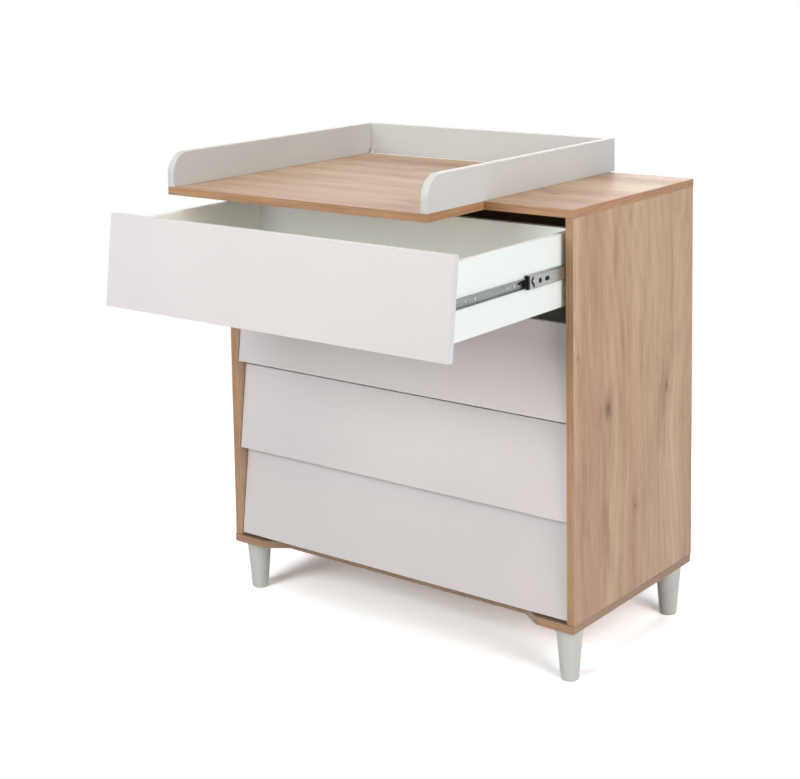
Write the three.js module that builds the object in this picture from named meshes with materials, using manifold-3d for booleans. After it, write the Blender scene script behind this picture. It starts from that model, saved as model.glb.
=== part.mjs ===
// Changing dresser: an oak-decor chest on four turned legs, with four louvred drawers on telescopic
// ball slides and a changing frame on its top. The top drawer stands open.
// Millimetres, +X to the right, -Y to the front, +Z up. The parts are drawn with Y = 0 at the chest's
// front plane and Z = 0 on the floor, and the whole is then moved so that its box is centred on the origin.
import * as THREE from "three";
import { mergeVertices } from "three/addons/utils/BufferGeometryUtils.js";
import Module from "manifold-3d";

const wasm = await Module();
wasm.setup();

// Chest
const caseWidth = 960;
const caseDepth = 520;
const caseHeight = 900;
const boardThickness = 18;
const topRearOverhang = 2;
const backThickness = 4;
const backRebateWidth = 8;
const backBottomLift = 2;
const bottomFrontOverhang = 2.5;
const bottomRecessDepth = 36;
const bottomRecessWidth = 784;
const bottomRecessCurveWidth = 60;
const bottomRecessBulgeShare = 0.2;

// Legs
const legHeight = 120;
const legTopDiameter = 60;
const legFootDiameter = 39;
const legFootRadius = 3;
const legSideInset = 37;
const legEndInset = 42;
const legStudDiameter = 8;
const legStudLength = 14;

// Changing frame
const frameWidth = 736;
const frameLeftInset = 6;
const frameRailHeight = 78;
const frameCornerRadius = 50;
const frameRearOverhang = 24;
const shelfDepth = 200;
const bracketLeaf = 16;
const bracketThickness = 2.4;
const bracketSideGap = 2;

// Drawers
const drawerCount = 4;
const topDrawerTravelLeft = 31;
const lowestFrontGap = 6;
const highestFrontGap = 14.5;
const gapBetweenFronts = 10.5;
const frontSideGap = 1.5;
const frontInset = 4;
const frontLean = 25;
const boxTopDrop = 20.5;
const boxBoardThickness = 16;
const boxLift = 30.5;
const boxRearGap = 13;
const basePanelThickness = 3;
const basePanelLift = 10;
const grooveDepth = 6;

// Ball slides: three nested channels of bent sheet, in the longest stock length that the box takes
const slideLengthStep = 50;
const slideThickness = 12.7;
const slideSheet = 1.2;
const slideLift = 74;
const slideFrontGap = 10.5;
const cabinetChannelHeight = 35;
const cabinetChannelSetback = 12;
const middleChannelHeight = 30;
const middleChannelSetback = 32.5;
const drawerChannelHeight = 20.6;
const channelWebGap = 0.3;
const outerBallDiameter = 3.2;
const innerBallDiameter = 4;
const ballsInRow = 4;
const ballRowEndGap = 12;
const screwHoleDiameter = 5;
const screwSlotLength = 9;
const screwSlotWidth = 4;
const drawerHoleShares = [0.08, 0.4, 0.92];
const drawerSlotShares = [0.15, 0.45];
const cabinetHoleShares = [0.07, 0.5, 0.93];
const middleHoleShares = [0.085, 0.143, 0.8];

// Plastic stop on the front end of each middle channel
const stopThickness = 5.5;
const stopTongueLength = 22.5;
const stopTongueHeight = 14;
const stopHookHeight = 5;
const stopRootLength = 8;

// Clearances, and the overrun of a cut past the face it opens
const fitGap = 0.3;
const runningGap = 0.5;
const grooveGap = 0.2;
const ballSink = 0.25;
const overrun = 5;

// Facets
const arcSteps = 9;
const legSteps = 28;
const holeSteps = 8;
const slotEndSteps = 4;
const footSteps = 3;
const ballSides = 6;
const ballRings = 3;

// Places worked out from the sizes
const halfWidth = caseWidth / 2;
const innerHalfWidth = halfWidth - boardThickness;
const bottomLow = legHeight;
const bottomHigh = bottomLow + boardThickness;
const topHigh = bottomLow + caseHeight;
const topLow = topHigh - boardThickness;
const topRear = caseDepth + topRearOverhang;
const backFront = caseDepth - backThickness;
const shelfFront = -shelfDepth;
const frameLeft = frameLeftInset - halfWidth;
const frameRight = frameLeft + frameWidth;
const frameRear = topRear + frameRearOverhang;
const frameHigh = topHigh + frameRailHeight;

const frontStack = topLow - bottomHigh - lowestFrontGap - highestFrontGap;
const drawerPitch = (frontStack + gapBetweenFronts) / drawerCount;
const frontHeight = drawerPitch - gapBetweenFronts;
const frontHalfWidth = innerHalfWidth - frontSideGap;
const leanAngle = Math.atan(frontLean / frontHeight);
const frontRun = boardThickness / Math.cos(leanAngle);
const boxHalfWidth = innerHalfWidth - slideThickness;
const boxInnerHalfWidth = boxHalfWidth - boxBoardThickness;
const boxRear = backFront - boxRearGap;
const boxInnerRear = boxRear - boxBoardThickness;
const boxLow = boxLift;
const boxHigh = frontHeight - boxTopDrop;
const baseLow = boxLow + basePanelLift;
const baseHigh = baseLow + basePanelThickness;
const baseHalfWidth = boxInnerHalfWidth + grooveDepth - fitGap;
const slideAxis = boxLow + slideLift;
const slideFront = frontRearFace(slideAxis) + slideFrontGap;
const slideLength = Math.floor((boxRear - slideFront) / slideLengthStep) * slideLengthStep;
const slideRear = slideFront + slideLength;
const drawerTravel = slideLength;
const topDrawerPull = drawerTravel - topDrawerTravelLeft;
const middleFront = slideFront + middleChannelSetback;

// Front edge of each drawer, counted from the top as drawer 1
const drawerBottoms = Array.from(
  { length: drawerCount },
  (_, i) => bottomHigh + lowestFrontGap + (drawerCount - 1 - i) * drawerPitch,
);

// Rear face of a leaning front at a height over its bottom edge
function frontRearFace(height) {
  return frontInset + height * Math.tan(leanAngle) + frontRun;
}

// Finishes
const finish = (color, roughness, metalness = 0) =>
  new THREE.MeshStandardMaterial({ color, roughness, metalness, flatShading: true });
const oak = finish(0xc9a987, 0.55);
const hardboard = finish(0x9a7b5c, 0.85);
const frontLaminate = finish(0xe0dbd8, 0.5);
const boxLaminate = finish(0xecf1ef, 0.5);
const frameLaminate = finish(0xc9c7c2, 0.5);
const legLacquer = finish(0xc0c1bd, 0.4);
const whitePlastic = finish(0xf0f0ee, 0.45);
const zinc = finish(0x9a9f9b, 0.35, 0.9);
const middleZinc = finish(0xa6aaa5, 0.35, 0.9);

// A closed three.js geometry as a solid that can be joined and cut
function solid(geometry) {
  const bare = geometry.clone();
  bare.deleteAttribute("normal");
  bare.deleteAttribute("uv");
  const merged = mergeVertices(bare);
  const vertProperties = merged.attributes.position.array;
  const triVerts = new Uint32Array(merged.index.array);
  return new wasm.Manifold(new wasm.Mesh({ numProp: 3, vertProperties, triVerts }));
}

// A solid as a three.js geometry
function geometryOf(body) {
  const mesh = body.getMesh();
  const geometry = new THREE.BufferGeometry();
  geometry.setAttribute("position", new THREE.BufferAttribute(mesh.vertProperties, 3));
  geometry.setIndex(new THREE.BufferAttribute(mesh.triVerts, 1));
  return geometry;
}

// A box between two limits along each axis
function block([x0, x1], [y0, y1], [z0, z1]) {
  const size = [x1 - x0, y1 - y0, z1 - z0].map(Math.abs);
  const geometry = new THREE.BoxGeometry(...size);
  geometry.translate((x0 + x1) / 2, (y0 + y1) / 2, (z0 + z1) / 2);
  return solid(geometry);
}

// An outline in Y and Z, carried along X
function prismX(shape, [x0, x1], steps = arcSteps) {
  const depth = Math.abs(x1 - x0);
  const geometry = new THREE.ExtrudeGeometry(shape, { depth, bevelEnabled: false, curveSegments: steps });
  geometry.rotateX(Math.PI / 2);
  geometry.rotateZ(Math.PI / 2);
  geometry.translate(Math.min(x0, x1), 0, 0);
  return solid(geometry);
}

// An outline in X and Z, carried along Y
function prismY(shape, [y0, y1], steps = arcSteps) {
  const geometry = new THREE.ExtrudeGeometry(shape, {
    depth: y1 - y0,
    bevelEnabled: false,
    curveSegments: steps,
  });
  geometry.rotateX(Math.PI / 2);
  geometry.translate(0, y1, 0);
  return solid(geometry);
}

// An outline in X and Y, carried along Z
function prismZ(shape, [z0, z1], steps = arcSteps) {
  const geometry = new THREE.ExtrudeGeometry(shape, {
    depth: z1 - z0,
    bevelEnabled: false,
    curveSegments: steps,
  });
  geometry.translate(0, 0, z0);
  return solid(geometry);
}

const outline = (points) => new THREE.Shape(points.map(([a, b]) => new THREE.Vector2(a, b)));

function add(group, name, geometry, material) {
  const mesh = new THREE.Mesh(geometry, material);
  mesh.name = name;
  group.add(mesh);
  return mesh;
}

// Chest panels

function sidePanel(side) {
  const inner = side * innerHalfWidth;
  const board = block([inner, side * halfWidth], [0, caseDepth], [bottomHigh, topLow]);
  const rebate = block(
    [inner - side * overrun, inner + side * backRebateWidth],
    [backFront, caseDepth + overrun],
    [bottomHigh - overrun, topLow + overrun],
  );
  return board.subtract(rebate);
}

const topPanel = () => block([-halfWidth, halfWidth], [0, topRear], [topLow, topHigh]);

// The front edge is cut back between two soft S curves, so that fingers reach the lowest front
function bottomPanel() {
  const outer = bottomRecessWidth / 2;
  const inner = outer - bottomRecessCurveWidth;
  const bulge = bottomRecessCurveWidth * bottomRecessBulgeShare;
  const front = -bottomFrontOverhang;
  const recess = front + bottomRecessDepth;
  const shape = new THREE.Shape();
  shape.moveTo(-halfWidth, front);
  shape.lineTo(-outer, front);
  shape.bezierCurveTo(-outer + bulge, front, -inner - bulge, recess, -inner, recess);
  shape.lineTo(inner, recess);
  shape.bezierCurveTo(inner + bulge, recess, outer - bulge, front, outer, front);
  shape.lineTo(halfWidth, front);
  shape.lineTo(halfWidth, backFront);
  shape.lineTo(-halfWidth, backFront);
  let board = prismZ(shape, [bottomLow, bottomHigh]);
  const radius = (legStudDiameter / 2 + fitGap) / Math.cos(Math.PI / holeSteps);
  for (const [x, y] of legPlaces) {
    const hole = new THREE.CylinderGeometry(radius, radius, boardThickness + 2 * overrun, holeSteps);
    hole.rotateX(Math.PI / 2);
    hole.translate(x, y, (bottomLow + bottomHigh) / 2);
    board = board.subtract(solid(hole));
  }
  return board;
}

function backPanel() {
  const reach = innerHalfWidth + backRebateWidth - fitGap;
  return block([-reach, reach], [backFront, caseDepth], [bottomLow + backBottomLift, topLow]);
}

// Legs

const legPlaces = [
  [legSideInset - halfWidth, legEndInset],
  [halfWidth - legSideInset, legEndInset],
  [legSideInset - halfWidth, caseDepth - legEndInset],
  [halfWidth - legSideInset, caseDepth - legEndInset],
];

// A turned cone with a rounded foot, and the stud that screws into the bottom panel
function leg() {
  const foot = legFootDiameter / 2;
  const stud = legStudDiameter / 2;
  const profile = [new THREE.Vector2(0, 0)];
  for (let i = 0; i <= footSteps; i += 1) {
    const turn = (i / footSteps) * (Math.PI / 2);
    profile.push(
      new THREE.Vector2(
        foot - legFootRadius + legFootRadius * Math.sin(turn),
        legFootRadius - legFootRadius * Math.cos(turn),
      ),
    );
  }
  profile.push(new THREE.Vector2(legTopDiameter / 2, legHeight));
  profile.push(new THREE.Vector2(stud, legHeight));
  profile.push(new THREE.Vector2(stud, legHeight + legStudLength));
  profile.push(new THREE.Vector2(0, legHeight + legStudLength));
  const geometry = new THREE.LatheGeometry(profile, legSteps);
  geometry.rotateX(Math.PI / 2);
  return solid(geometry);
}

// Changing frame

function frameSideRail(outerX, innerX) {
  const shape = new THREE.Shape();
  shape.moveTo(shelfFront, topHigh);
  shape.lineTo(frameRear, topHigh);
  shape.lineTo(frameRear, frameHigh);
  shape.lineTo(shelfFront + frameCornerRadius, frameHigh);
  shape.absarc(
    shelfFront + frameCornerRadius,
    frameHigh - frameCornerRadius,
    frameCornerRadius,
    Math.PI / 2,
    Math.PI,
  );
  return prismX(shape, [outerX, innerX]);
}

const frameBackRail = () =>
  block(
    [frameLeft + boardThickness, frameRight - boardThickness],
    [frameRear - boardThickness, frameRear],
    [topHigh, frameHigh],
  );

const frontShelf = () => block([frameLeft, frameRight], [shelfFront, 0], [topLow, topHigh]);

// An angle with a triangular web, in a rear corner of the frame: one leaf on the top, one on the back rail
function frameBracket(side) {
  const corner = side < 0 ? frameLeft + boardThickness : frameRight - boardThickness;
  const outer = corner - side * bracketSideGap;
  const inner = outer - side * bracketLeaf;
  const rear = frameRear - boardThickness;
  const angle = outline([
    [rear, topHigh],
    [rear, topHigh + bracketLeaf],
    [rear - bracketThickness, topHigh + bracketLeaf],
    [rear - bracketThickness, topHigh + bracketThickness],
    [rear - bracketLeaf, topHigh + bracketThickness],
    [rear - bracketLeaf, topHigh],
  ]);
  const gusset = outline([
    [rear - bracketThickness / 2, topHigh + bracketThickness / 2],
    [rear - bracketThickness / 2, topHigh + bracketLeaf],
    [rear - bracketLeaf, topHigh + bracketThickness / 2],
  ]);
  const middle = (outer + inner) / 2;
  const web = [middle - bracketThickness / 2, middle + bracketThickness / 2];
  return prismX(angle, [outer, inner]).add(prismX(gusset, web));
}

// Drawer box: heights here are counted from the front's bottom edge

function drawerFront() {
  const shape = outline([
    [frontInset, 0],
    [frontInset + frontLean, frontHeight],
    [
      frontInset + frontLean + boardThickness * Math.cos(leanAngle),
      frontHeight - boardThickness * Math.sin(leanAngle),
    ],
    [frontInset + boardThickness * Math.cos(leanAngle), -boardThickness * Math.sin(leanAngle)],
  ]);
  const groove = block(
    [-baseHalfWidth - fitGap, baseHalfWidth + fitGap],
    [frontRearFace(baseLow) - grooveDepth, frontRearFace(baseHigh) + overrun],
    [baseLow - grooveGap, baseHigh + grooveGap],
  );
  return prismX(shape, [-frontHalfWidth, frontHalfWidth]).subtract(groove);
}

// The front end is cut to the front's lean
function drawerSide(side) {
  const shape = outline([
    [frontRearFace(boxLow) + fitGap, boxLow],
    [boxRear, boxLow],
    [boxRear, boxHigh],
    [frontRearFace(boxHigh) + fitGap, boxHigh],
  ]);
  const inner = side * boxInnerHalfWidth;
  const groove = block(
    [inner - side * overrun, inner + side * grooveDepth],
    [0, caseDepth],
    [baseLow - grooveGap, baseHigh + grooveGap],
  );
  return prismX(shape, [inner, side * boxHalfWidth]).subtract(groove);
}

function drawerBack() {
  const reach = [-boxInnerHalfWidth, boxInnerHalfWidth];
  const board = block(reach, [boxInnerRear, boxRear], [boxLow, boxHigh]);
  const groove = block(
    [-halfWidth, halfWidth],
    [boxInnerRear - overrun, boxInnerRear + grooveDepth],
    [baseLow - grooveGap, baseHigh + grooveGap],
  );
  return board.subtract(groove);
}

const drawerBase = () =>
  block(
    [-baseHalfWidth, baseHalfWidth],
    [frontRearFace(baseLow) - grooveDepth + fitGap, boxInnerRear + grooveDepth - fitGap],
    [baseLow, baseHigh],
  );

// Ball slides. A section is drawn across the slide: u from the drawer side out to the chest side, and w up
// from the slide's axis. Each channel is a centre line of bent sheet, drawn from the tip of its upper flange
// to its web and mirrored below the axis.

const cabinetFlange = (cabinetChannelHeight - slideSheet) / 2;
const cabinetWeb = slideThickness - slideSheet / 2;
const outerBallTop = cabinetFlange - slideSheet / 2;
const outerRace = outerBallTop - outerBallDiameter - slideSheet / 2;
const middleWeb = cabinetWeb - slideSheet - channelWebGap;
const middleFlange = (middleChannelHeight - slideSheet) / 2;
const innerBallTop = middleFlange - slideSheet / 2;
const innerRace = innerBallTop - innerBallDiameter - slideSheet / 2;
const drawerFlange = (drawerChannelHeight - slideSheet) / 2;
const drawerWeb = slideSheet / 2;
const outerBallAt = middleWeb - outerBallDiameter / 2;
const innerBallAt = innerBallDiameter + slideSheet / 2;

// Flange tip, race and bends of each channel, as [u, w]
const cabinetLine = [
  [outerBallAt - outerBallDiameter, cabinetFlange - slideSheet],
  [outerBallAt - outerBallDiameter / 2 - slideSheet / 4, cabinetFlange],
  [cabinetWeb - slideSheet, cabinetFlange],
  [cabinetWeb, cabinetFlange - slideSheet],
];
const middleLine = [
  [innerBallAt - innerBallDiameter / 2 - slideSheet, middleFlange - slideSheet / 2],
  [innerBallAt - innerBallDiameter / 2, middleFlange],
  [innerBallAt + innerBallDiameter / 2 - slideSheet / 4, middleFlange],
  [outerBallAt - outerBallDiameter / 2 + slideSheet / 4, outerRace],
  [middleWeb, outerRace],
];
const drawerLine = [
  [innerBallAt + innerBallDiameter / 2, drawerFlange],
  [innerBallAt + innerBallDiameter / 4, innerRace],
  [innerBallAt - innerBallDiameter / 4, innerRace],
  [innerBallAt - innerBallDiameter / 2, drawerFlange],
  [drawerWeb, drawerFlange],
];

// Half the sheet is laid off to each side of the centre line, with mitred bends
function channelShape(side, upperLine) {
  const line = [...upperLine, ...upperLine.toReversed().map(([u, w]) => [u, -w])].map(
    ([u, w]) => new THREE.Vector2(side * (boxHalfWidth + u), slideAxis + w),
  );
  const normals = line.slice(1).map((point, i) => {
    const run = point.clone().sub(line[i]).normalize();
    return new THREE.Vector2(-run.y, run.x);
  });
  const mitres = line.map((_, i) => {
    const before = normals[Math.max(i - 1, 0)];
    const after = normals[Math.min(i, normals.length - 1)];
    const sum = before.clone().add(after);
    return sum.multiplyScalar(slideSheet / 2 / (1 + before.dot(after)));
  });
  const outer = line.map((point, i) => point.clone().add(mitres[i]));
  const inner = line.map((point, i) => point.clone().sub(mitres[i]));
  return new THREE.Shape([...outer, ...inner.reverse()]);
}

// Screw holes and slots through a channel's web
function pierce(channel, side, webU, front, holeShares, slotShares) {
  const radius = screwHoleDiameter / 2;
  const x = side * (boxHalfWidth + webU);
  let body = channel;
  for (const share of holeShares) {
    const hole = new THREE.CylinderGeometry(radius, radius, 2 * slideSheet, holeSteps);
    hole.rotateZ(Math.PI / 2);
    hole.translate(x, front + share * slideLength, slideAxis);
    body = body.subtract(solid(hole));
  }
  for (const share of slotShares) {
    const at = front + share * slideLength;
    const straight = (screwSlotLength - screwSlotWidth) / 2;
    const slot = new THREE.Shape();
    slot.absarc(at, slideAxis + straight, screwSlotWidth / 2, 0, Math.PI);
    slot.absarc(at, slideAxis - straight, screwSlotWidth / 2, Math.PI, 2 * Math.PI);
    body = body.subtract(prismX(slot, [x - slideSheet, x + slideSheet], slotEndSteps));
  }
  return body;
}

function cabinetChannel(side) {
  const front = slideFront + cabinetChannelSetback;
  const channel = prismY(channelShape(side, cabinetLine), [front, front + slideLength]);
  return pierce(channel, side, cabinetWeb, front, cabinetHoleShares, []);
}

function drawerChannel(side) {
  const channel = prismY(channelShape(side, drawerLine), [slideFront, slideRear]);
  return pierce(channel, side, drawerWeb, slideFront, drawerHoleShares, drawerSlotShares);
}

// One ball row: the balls are set into the middle channel's race by a hair, and clear the other race
function ballRow(side, u, touch, inward, diameter, [from, to]) {
  const radius = (diameter - fitGap) / 2;
  const rise = touch + inward * (radius - ballSink);
  const balls = [];
  for (let i = 0; i < ballsInRow; i += 1) {
    const y = from + ((to - from) * i) / (ballsInRow - 1);
    for (const half of [-1, 1]) {
      const ball = new THREE.SphereGeometry(radius, ballSides, ballRings);
      ball.rotateX(Math.PI / 2);
      ball.translate(side * (boxHalfWidth + u), y, slideAxis + half * rise);
      balls.push(solid(ball));
    }
  }
  return balls;
}

// The outer balls stay inside the chest's channel, and the inner balls under the drawer's channel, at full
// pull-out, so the outer rows fill the middle channel's rear half and the inner rows its front half
function middleChannel(side) {
  let body = prismY(channelShape(side, middleLine), [middleFront, slideRear]);
  body = pierce(body, side, middleWeb, middleFront, middleHoleShares, []);
  const halfTravel = drawerTravel / 2;
  const cabinetFront = slideFront + cabinetChannelSetback;
  const outerRow = [cabinetFront + halfTravel + ballRowEndGap, slideRear - ballRowEndGap];
  const innerRow = [middleFront + ballRowEndGap, slideFront + halfTravel - ballRowEndGap];
  const outerTouch = outerRace + slideSheet / 2;
  const balls = [
    ...ballRow(side, outerBallAt, outerTouch, 1, outerBallDiameter, outerRow),
    ...ballRow(side, innerBallAt, innerBallTop, -1, innerBallDiameter, innerRow),
  ];
  for (const ball of balls) body = body.add(ball);
  return body.add(frontStop(side));
}

// A plate across the channel's front end, two tabs before its flanges, and a hooked tongue that runs in
// the drawer's channel
function frontStop(side) {
  const x = (u) => side * (boxHalfWidth + u);
  const front = middleFront - stopThickness;
  const low = slideAxis - middleChannelHeight / 2;
  const high = slideAxis + middleChannelHeight / 2;
  const tipU = innerBallAt + innerBallDiameter / 2 + slideSheet;
  const webFace = middleWeb + slideSheet / 2;
  const plate = block([x(tipU), x(webFace)], [front, middleFront], [low, high]);
  const tabInner = innerRace + slideSheet + runningGap;
  const tabU = innerBallAt - innerBallDiameter / 2;
  const upper = block([x(tabU), x(webFace)], [front, middleFront], [slideAxis + tabInner, high]);
  const lower = block([x(tabU), x(webFace)], [front, middleFront], [low, slideAxis - tabInner]);
  const half = stopTongueHeight / 2;
  const tip = front - stopTongueLength;
  const tongue = prismX(
    outline([
      [middleFront, slideAxis - half],
      [front, slideAxis - half],
      [(front + tip) / 2, slideAxis + half - stopHookHeight],
      [tip, slideAxis - half + stopHookHeight],
      [tip, slideAxis + half - stopHookHeight],
      [(front + tip) / 2, slideAxis + half],
      [middleFront, slideAxis + half],
    ]),
    [x(slideSheet + runningGap), x(webFace - slideSheet)],
  );
  const root = block(
    [x(tipU), x(middleWeb)],
    [front, middleFront + stopRootLength],
    [slideAxis - half, slideAxis + half],
  );
  return plate.add(upper).add(lower).add(tongue).add(root);
}

// Assembly

const dresser = new THREE.Group();
const chest = new THREE.Group();
dresser.add(chest);
add(chest, "side_panel_left", geometryOf(sidePanel(-1)), oak);
add(chest, "side_panel_right", geometryOf(sidePanel(1)), oak);
add(chest, "top_panel", geometryOf(topPanel()), oak);
add(chest, "bottom_panel", geometryOf(bottomPanel()), oak);
add(chest, "back_panel", geometryOf(backPanel()), hardboard);

const legNames = ["leg_front_left", "leg_front_right", "leg_rear_left", "leg_rear_right"];
const legGeometry = geometryOf(leg());
legNames.forEach((name, i) => {
  const [x, y] = legPlaces[i];
  add(chest, name, legGeometry, legLacquer).position.set(x, y, 0);
});

const changer = new THREE.Group();
dresser.add(changer);
const leftRail = frameSideRail(frameLeft, frameLeft + boardThickness);
const rightRail = frameSideRail(frameRight - boardThickness, frameRight);
add(changer, "frame_rail_left", geometryOf(leftRail), frameLaminate);
add(changer, "frame_rail_right", geometryOf(rightRail), frameLaminate);
add(changer, "frame_rail_back", geometryOf(frameBackRail()), frameLaminate);
add(changer, "frame_front_shelf", geometryOf(frontShelf()), oak);
add(changer, "frame_bracket_left", geometryOf(frameBracket(-1)), whitePlastic);
add(changer, "frame_bracket_right", geometryOf(frameBracket(1)), whitePlastic);

const drawerPieces = {
  front: [geometryOf(drawerFront()), frontLaminate],
  side_left: [geometryOf(drawerSide(-1)), boxLaminate],
  side_right: [geometryOf(drawerSide(1)), boxLaminate],
  back: [geometryOf(drawerBack()), boxLaminate],
  base: [geometryOf(drawerBase()), boxLaminate],
};
const slidePieces = [
  { hand: "left", side: -1 },
  { hand: "right", side: 1 },
].map(({ hand, side }) => ({
  hand,
  cabinet: geometryOf(cabinetChannel(side)),
  middle: geometryOf(middleChannel(side)),
  drawer: geometryOf(drawerChannel(side)),
}));

// Each drawer level: chest channels stay, middle channels follow at half the pull, the drawer comes all the way
drawerBottoms.forEach((bottom, i) => {
  const pull = i === 0 ? topDrawerPull : 0;
  const level = new THREE.Group();
  const middles = new THREE.Group();
  const drawer = new THREE.Group();
  level.position.set(0, 0, bottom);
  middles.position.set(0, -pull / 2, 0);
  drawer.position.set(0, -pull, 0);
  level.add(middles, drawer);
  dresser.add(level);
  for (const [piece, [geometry, material]] of Object.entries(drawerPieces)) {
    add(drawer, `drawer_${i + 1}_${piece}`, geometry, material);
  }
  for (const { hand, cabinet, middle, drawer: member } of slidePieces) {
    add(level, `slide_${i + 1}_${hand}_chest_channel`, cabinet, zinc);
    add(middles, `slide_${i + 1}_${hand}_middle_channel`, middle, middleZinc);
    add(drawer, `slide_${i + 1}_${hand}_drawer_channel`, member, zinc);
  }
});

// The box runs from the open drawer's bottom edge to the rails' rear ends
const boxFront = frontInset - topDrawerPull;
dresser.position.set(0, -(boxFront + frameRear) / 2, 0);

export default dresser;
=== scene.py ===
"""Looks of an oak-decor changing dresser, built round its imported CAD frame.

Metres, +X to the right, -Y to the front, +Z up. Every piece is a surface worked out with numpy from
the box of the CAD node that it stands for: boards are outlines carried along an axis with their
rims rounded over, legs are turned profiles, and the ball slides are bent sheets pierced by their
screw holes.
"""

import logging
import math
from collections.abc import Callable
from dataclasses import dataclass
from enum import Enum
from functools import cache

import bmesh
import bpy
import numpy as np
from mathutils import Matrix, Vector


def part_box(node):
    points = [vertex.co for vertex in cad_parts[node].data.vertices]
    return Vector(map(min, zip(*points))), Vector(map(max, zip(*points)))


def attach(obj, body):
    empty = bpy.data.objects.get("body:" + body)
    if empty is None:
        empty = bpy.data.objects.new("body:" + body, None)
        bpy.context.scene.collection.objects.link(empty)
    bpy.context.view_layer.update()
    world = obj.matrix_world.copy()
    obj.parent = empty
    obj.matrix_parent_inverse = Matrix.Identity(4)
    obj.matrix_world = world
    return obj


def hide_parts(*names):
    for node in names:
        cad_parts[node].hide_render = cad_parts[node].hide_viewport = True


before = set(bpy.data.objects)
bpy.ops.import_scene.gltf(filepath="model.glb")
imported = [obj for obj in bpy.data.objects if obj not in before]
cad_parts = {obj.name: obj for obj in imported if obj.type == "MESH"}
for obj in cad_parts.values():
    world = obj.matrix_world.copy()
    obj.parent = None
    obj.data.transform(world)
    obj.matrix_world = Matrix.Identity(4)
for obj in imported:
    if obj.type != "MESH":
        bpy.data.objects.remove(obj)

Array = np.ndarray
Colour = tuple[float, float, float]
Point = tuple[float, float, float]
Pair = tuple[float, float]
Socket = bpy.types.NodeSocket
Value = Socket | float | tuple[float, ...]
EndFace = float | Callable[[Array], Array]
Choose = Callable[[Array, Array], Array]

log = logging.getLogger("dresser")
MM = 0.001
PHOTO_WIDTH, PHOTO_HEIGHT = 800, 779
DRAWERS = 4
FACING = 0.7  # a face looks along an axis when its normal's share there is larger
DOWNWARD = -0.3  # a face looks down when its normal's Z is smaller
WELD = 2e-6
SHARP_ANGLE = math.radians(40)
MIX_FIRST, MIX_SECOND, MIX_RESULT = 6, 7, 2  # the colour sockets of a Mix node


class Axis(Enum):
    """A direction of the shared frame, by its place in a point."""

    X = 0
    Y = 1
    Z = 2


class Side(Enum):
    """The dresser's left or right, by the sign of X."""

    LEFT = -1
    RIGHT = 1

    @property
    def word(self) -> str:
        """The side's name in lower case."""
        return self.name.lower()


class Recess(Enum):
    """What a screw head is driven by."""

    CROSS = "cross"
    HEX = "hex"


# Finishes


def linear(red: int, green: int, blue: int) -> Colour:
    """The linear colour of an sRGB colour given in 0 to 255.

    Up to 0.04045 the curve is a line of slope 1 / 12.92, and above it a power of 2.4.

    Args:
        red, green, blue: the colour as a picture stores it.

    Returns:
        The three shares of light.
    """
    share = np.array([red, green, blue]) / 255
    light = np.where(share <= 0.04045, share / 12.92, ((share + 0.055) / 1.055) ** 2.4)
    return tuple(float(x) for x in light)


def darker(colour: Colour, share: float) -> Colour:
    """A colour with a share of its light taken away."""
    return tuple(c * (1 - share) for c in colour)


class NodeSheet:
    """A tree of nodes, written a call a node.

    Args:
        tree: the tree that the nodes go into.
    """

    def __init__(self, tree: bpy.types.NodeTree) -> None:
        """Keeps the tree's nodes and links at hand."""
        self.nodes, self.links = tree.nodes, tree.links

    def put(
        self, kind: str, inputs: dict[int | str, Value], out: int | str = 0, **settings: object
    ) -> Socket:
        """Adds a node.

        Args:
            kind: the node's type without its ShaderNode prefix.
            inputs: a value or another node's socket for each input.
            out: the output wanted.
            settings: the node's own options.

        Returns:
            The output socket.
        """
        node = self.nodes.new("ShaderNode" + kind)
        for key, value in settings.items():
            setattr(node, key, value)
        for key, value in inputs.items():
            if isinstance(value, Socket):
                self.links.new(value, node.inputs[key])
            else:
                node.inputs[key].default_value = value
        return node.outputs[out]

    def math(self, operation: str, *values: Value) -> Socket:
        """A Math node of up to three values."""
        return self.put("Math", dict(enumerate(values)), operation=operation)

    def mixed(self, share: Value, first: Socket, second: Socket) -> Socket:
        """Two shaders mixed by a share of the second."""
        return self.put("MixShader", {0: share, 1: first, 2: second})

    def seen(self) -> Socket:
        """Masks rays: 1 for camera, glossy and transmission rays, 0 for those that light the scene.

        Returns:
            The mask.
        """
        total = self.put("LightPath", {}, "Is Camera Ray")
        rays = total.node.outputs
        for name in ("Is Glossy Ray", "Is Transmission Ray"):
            total = self.math("MAXIMUM", total, rays[name])
        return total


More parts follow.
